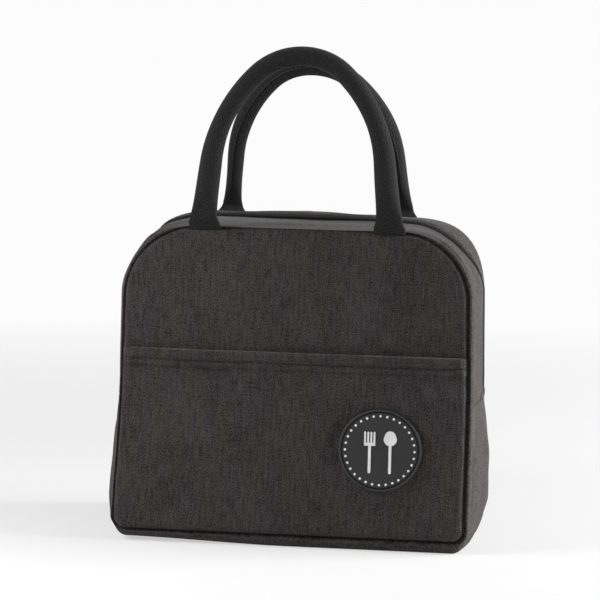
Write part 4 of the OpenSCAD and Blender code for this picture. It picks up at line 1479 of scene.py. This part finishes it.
# %% [markdown]
# The sleeve is a hollow tube: an outer skin, and an inner one that faces inwards round the
# rope. The rope could be three strands wound round each other, but it is hidden in the sleeve,
# so it is one tube whose section has three lobes and turns as it goes along.
# %% Sleeve, rope and the stitches along the inside
SLEEVE_SIDES, BORE_SIDES, ROPE_SIDES = 56, 24, 30
SLEEVE_T = 1.9 * MM
ROPE_D, ROPE_LAY, ROPE_FROM = 8.0 * MM, 34 * MM, 22 * MM
STRANDS, LOBE = 3, 0.14
STITCHED_FROM, STITCH_SUNK, STITCH_ASIDE = 10 * MM, 0.35 * MM, 1.6 * MM


def sleeve_of(word, points, along, axes, section, roped):
    """The webbing: the outer skin, and the bore that the rope lies in."""
    width, _, thick, power = section
    around = (np.arange(SLEEVE_SIDES) / SLEEVE_SIDES - 0.5) * math.pi * HANDLE_D
    skin = carried(points, axes, width, thick, power, SLEEVE_SIDES, SLIT_DEPTH)
    bore = HANDLE_D - 2 * SLEEVE_T
    inner = carried(points[roped], axes[roped], bore, bore, 2.0, BORE_SIDES)
    solids = [facing_out(tube(skin, along, around)),
              facing_out(tube(inner, along[roped], around[:BORE_SIDES]), inwards=True)]
    sleeve = piece(f"{word}_handle_sleeve", solids, webbing, SEWN_SHARP)
    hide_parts(f"{word}_handle", f"{word}_handle_tails")
    return sleeve


def rope_of(word, points, along, axes):
    """The rope: radius (1 - LOBE) + LOBE * |cos(strands / 2 * angle)|, turned by the lay."""
    turn = np.arange(ROPE_SIDES) * 2 * np.pi / ROPE_SIDES
    lay = 2 * np.pi * along / ROPE_LAY
    lobes = np.abs(np.cos(STRANDS / 2 * (turn[None, :] + lay[:, None])))
    radius = ROPE_D / 2 * (1 - LOBE + LOBE * lobes)
    rings = (points[:, None] + (radius * np.cos(turn))[..., None] * axes[:, None, 1]
             + (radius * np.sin(turn))[..., None] * axes[:, None, 2])
    rope = piece(f"{word}_handle_core", facing_out(tube(rings, along, turn * ROPE_D / 2)),
                 rope_core, SEWN_SHARP)
    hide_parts(f"{word}_handle_rope")
    return rope


def handle_stitches(word, points, along, axes, thick):
    """The stitches beside the slit: a row on the inner side, a little off the middle."""
    line = points - axes[:, 2] * (thick / 2 - STITCH_SUNK)[:, None] + axes[:, 1] * STITCH_ASIDE
    at = steps_along(line, STITCH)[2]
    out = np.stack([np.interp(at, along - along[0], -axes[:, 2, k]) for k in range(3)], -1)
    return piece(f"{word}_handle_stitches", stitch_row(line, out), thread, SEWN_SHARP)


def handle(side, word, lean, sway, leg_wider):
    """One handle: sleeve, rope and stitches; the rope and stitches are parented to one empty."""
    points, along, height, axes = handle_line(side, lean, sway)
    section = handle_section(along, height, leg_wider, UNEVEN_SEED + side)
    roped, sewn = height > ROPE_FROM, height > STITCHED_FROM
    sleeve = sleeve_of(word, points, along, axes, section, roped)
    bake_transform(sleeve)
    rope = rope_of(word, points[roped], along[roped], axes[roped])
    stitches = handle_stitches(word, points[sewn], along[sewn], axes[sewn], section[1][sewn])
    for made in (rope, stitches):
        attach(made, f"{word}_grip")


handle(-1, "front", lean=0.0, sway=(0, 2.2 * MM), leg_wider=2.6 * MM)
handle(1, "back", lean=BACK_LEAN, sway=(-1.8 * MM, -1.0 * MM), leg_wider=-1.6 * MM)

# %% [markdown]
# ## The badge
# A soft rubber badge is moulded as one turned shape: a flat face, a fine groove, and a rounded
# lip at the edge. Blender's Screw modifier could turn such a profile. The tube helper does the
# same here, with rings that change in radius, so nothing new is needed. The badge's raised
# white motif, a ring of beads round a fork and a spoon, is a CAD piece whose shape is right,
# and only gets its finish.
# %% Badge
BADGE_SIDES, LIP_RINGS = 160, 13
MIDDLE = 0.012
LIP_AT, LIP_HALF, LIP_ROUND = 0.964, 0.030, 0.8
LIP_STEP = 0.1 * MM
# each point: a share of the badge's radius, and the height above its back or over its face
BACK_EDGE = [(MIDDLE, 0), (0.97, 0), (0.992, 0.12 * MM), (0.998, 0.5 * MM)]
FACE_GROOVE = [(0.926, -0.55 * MM), (0.919, -0.62 * MM), (0.912, -0.5 * MM),
               (0.907, -0.12 * MM), (0.901, 0), (0.88, 0), (0.6, 0), (0.3, 0), (MIDDLE, 0)]


def badge():
    """The badge's profile carried round its centre: the back, the lip, which rises as
    sin(a)^LIP_ROUND where its radius goes with cos(a), and the face with its groove."""
    face = badge_high.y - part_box("badge_print")[1].y
    lip = badge_high.y - badge_low.y
    bend = np.linspace(0, np.pi, LIP_RINGS)
    rise = (lip - face - LIP_STEP) * np.sin(bend) ** LIP_ROUND
    profile = np.concatenate([
        BACK_EDGE, np.stack([LIP_AT + LIP_HALF * np.cos(bend), face + LIP_STEP + rise], -1),
        np.array(FACE_GROOVE) + [0, face]])
    turn = np.arange(BADGE_SIDES) * 2 * np.pi / BADGE_SIDES
    r, h = profile[:, :1] * badge_r, profile[:, 1:]
    rings = np.stack([badge_centre.x + r * np.cos(turn), badge_high.y - h + 0 * turn,
                      badge_centre.z + r * np.sin(turn)], -1)
    length = running(np.hypot(*np.diff(profile * [badge_r, 1], axis=0).T))
    made = piece("badge_disc", facing_out(tube(rings, length, turn * badge_r)), badge_rubber,
                 sharp=30)
    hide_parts("badge")
    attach(made, "bag_body")


badge()
dress("badge_print", badge_white)

# %% [markdown]
# ## Floor and room
# The floor is a plain pale sheet and the world a plain pale room. Rays from the camera see both
# as nearly white, which is told apart with the Light Path node, so the bag gets no more light
# for it, and the floor keeps its shadow. A shadow catcher on a transparent film could do this
# too, but would leave the white room to another program.
# %% Floor
FLOOR_SIZE = 30.0
FLOOR_GREY = 238
BACKGROUND = 0.97
NEAR, FAR, NEAR_SHARE = 0.25, 1.2, 0.55


def camera_sees(tree):
    """1 for a ray from the camera, a mirror or glass, and 0 for the light that falls on things."""
    path = tree.nodes.new("ShaderNodeLightPath").outputs
    seen = sums(tree, "MAXIMUM", path["Is Camera Ray"], path["Is Glossy Ray"])
    return sums(tree, "MAXIMUM", seen, path["Is Transmission Ray"])


def floor_finish():
    """A pale matt floor; for the camera it glows, half near the bag, where its shadow lies, and
    fully far off, where it meets the white room."""
    made, tree, shader = finish_named("floor", Roughness=0.9, Specular_IOR_Level=0.1)
    shader.inputs["Base Color"].default_value = paint(FLOOR_GREY)
    glow = tree.nodes.new("ShaderNodeEmission")
    glow.inputs["Strength"].default_value = BACKGROUND
    place = place_in_space(tree)
    length = tree.nodes.new("ShaderNodeVectorMath")
    length.operation = "LENGTH"
    plug(tree, length.inputs[0], place)
    far = tree.nodes.new("ShaderNodeMapRange")
    for socket, value in zip(far.inputs, (length.outputs["Value"], NEAR, FAR, NEAR_SHARE, 1.0)):
        plug(tree, socket, value)
    share = sums(tree, "MULTIPLY", camera_sees(tree), far.outputs[0])
    mix = tree.nodes.new("ShaderNodeMixShader")
    for socket, value in zip(mix.inputs, (share, shader.outputs[0], glow.outputs[0])):
        tree.links.new(value, socket)
    tree.links.new(mix.outputs[0], tree.nodes["Material Output"].inputs[0])
    return made


half = FLOOR_SIZE / 2
mesh = bpy.data.meshes.new("floor")
mesh.from_pydata([(-half, -half, 0), (half, -half, 0), (half, half, 0), (-half, half, 0)], [],
                 [(0, 1, 2, 3)])
mesh.materials.append(floor_finish())
floor = bpy.data.objects.new("floor", mesh)
bpy.context.scene.collection.objects.link(floor)

# %% [markdown]
# ## World and lamps
# The world lights the bag evenly and faintly. The lamps are large, so their shadows are soft.
# The main one stands on the right, a little above the bag, and lights its side. A faint one
# hangs high behind it, and a weak one stands in front on the left. A studio panorama could
# light the bag too, but lamps need no file, and each can be moved and dimmed on its own.
# %% World and lamps
WORLD_LIGHT = 0.18
BAG_MIDDLE = (0, 0, 0.13)


def lamp(name, place, size, watts):
    """A square soft box at a place, turned to look at the middle of the bag."""
    made = bpy.data.objects.new(name, bpy.data.lights.new(name, "AREA"))
    made.data.size = size
    made.data.energy = watts
    made.location = place
    aim = Vector(BAG_MIDDLE) - Vector(place)
    made.rotation_euler = aim.to_track_quat("-Z", "Y").to_euler()
    bpy.context.scene.collection.objects.link(made)


world = bpy.data.worlds.new("room")
bpy.context.scene.world = world
world.use_nodes = True
tree = world.node_tree
shade = tree.nodes["Background"]
strength = sums(tree, "MULTIPLY_ADD", camera_sees(tree), BACKGROUND - WORLD_LIGHT, WORLD_LIGHT)
tree.links.new(strength, shade.inputs["Strength"])
shade.inputs["Color"].default_value = (1, 1, 1, 1)
lamp("top_light", (0.75, 0.35, 1.25), size=0.6, watts=0.8)
lamp("side_light", (1.35, 0.10, 0.46), size=0.8, watts=41)
lamp("front_light", (-0.46, -0.31, 0.38), size=0.25, watts=2.9)
bpy.context.scene.view_settings.view_transform = "Standard"
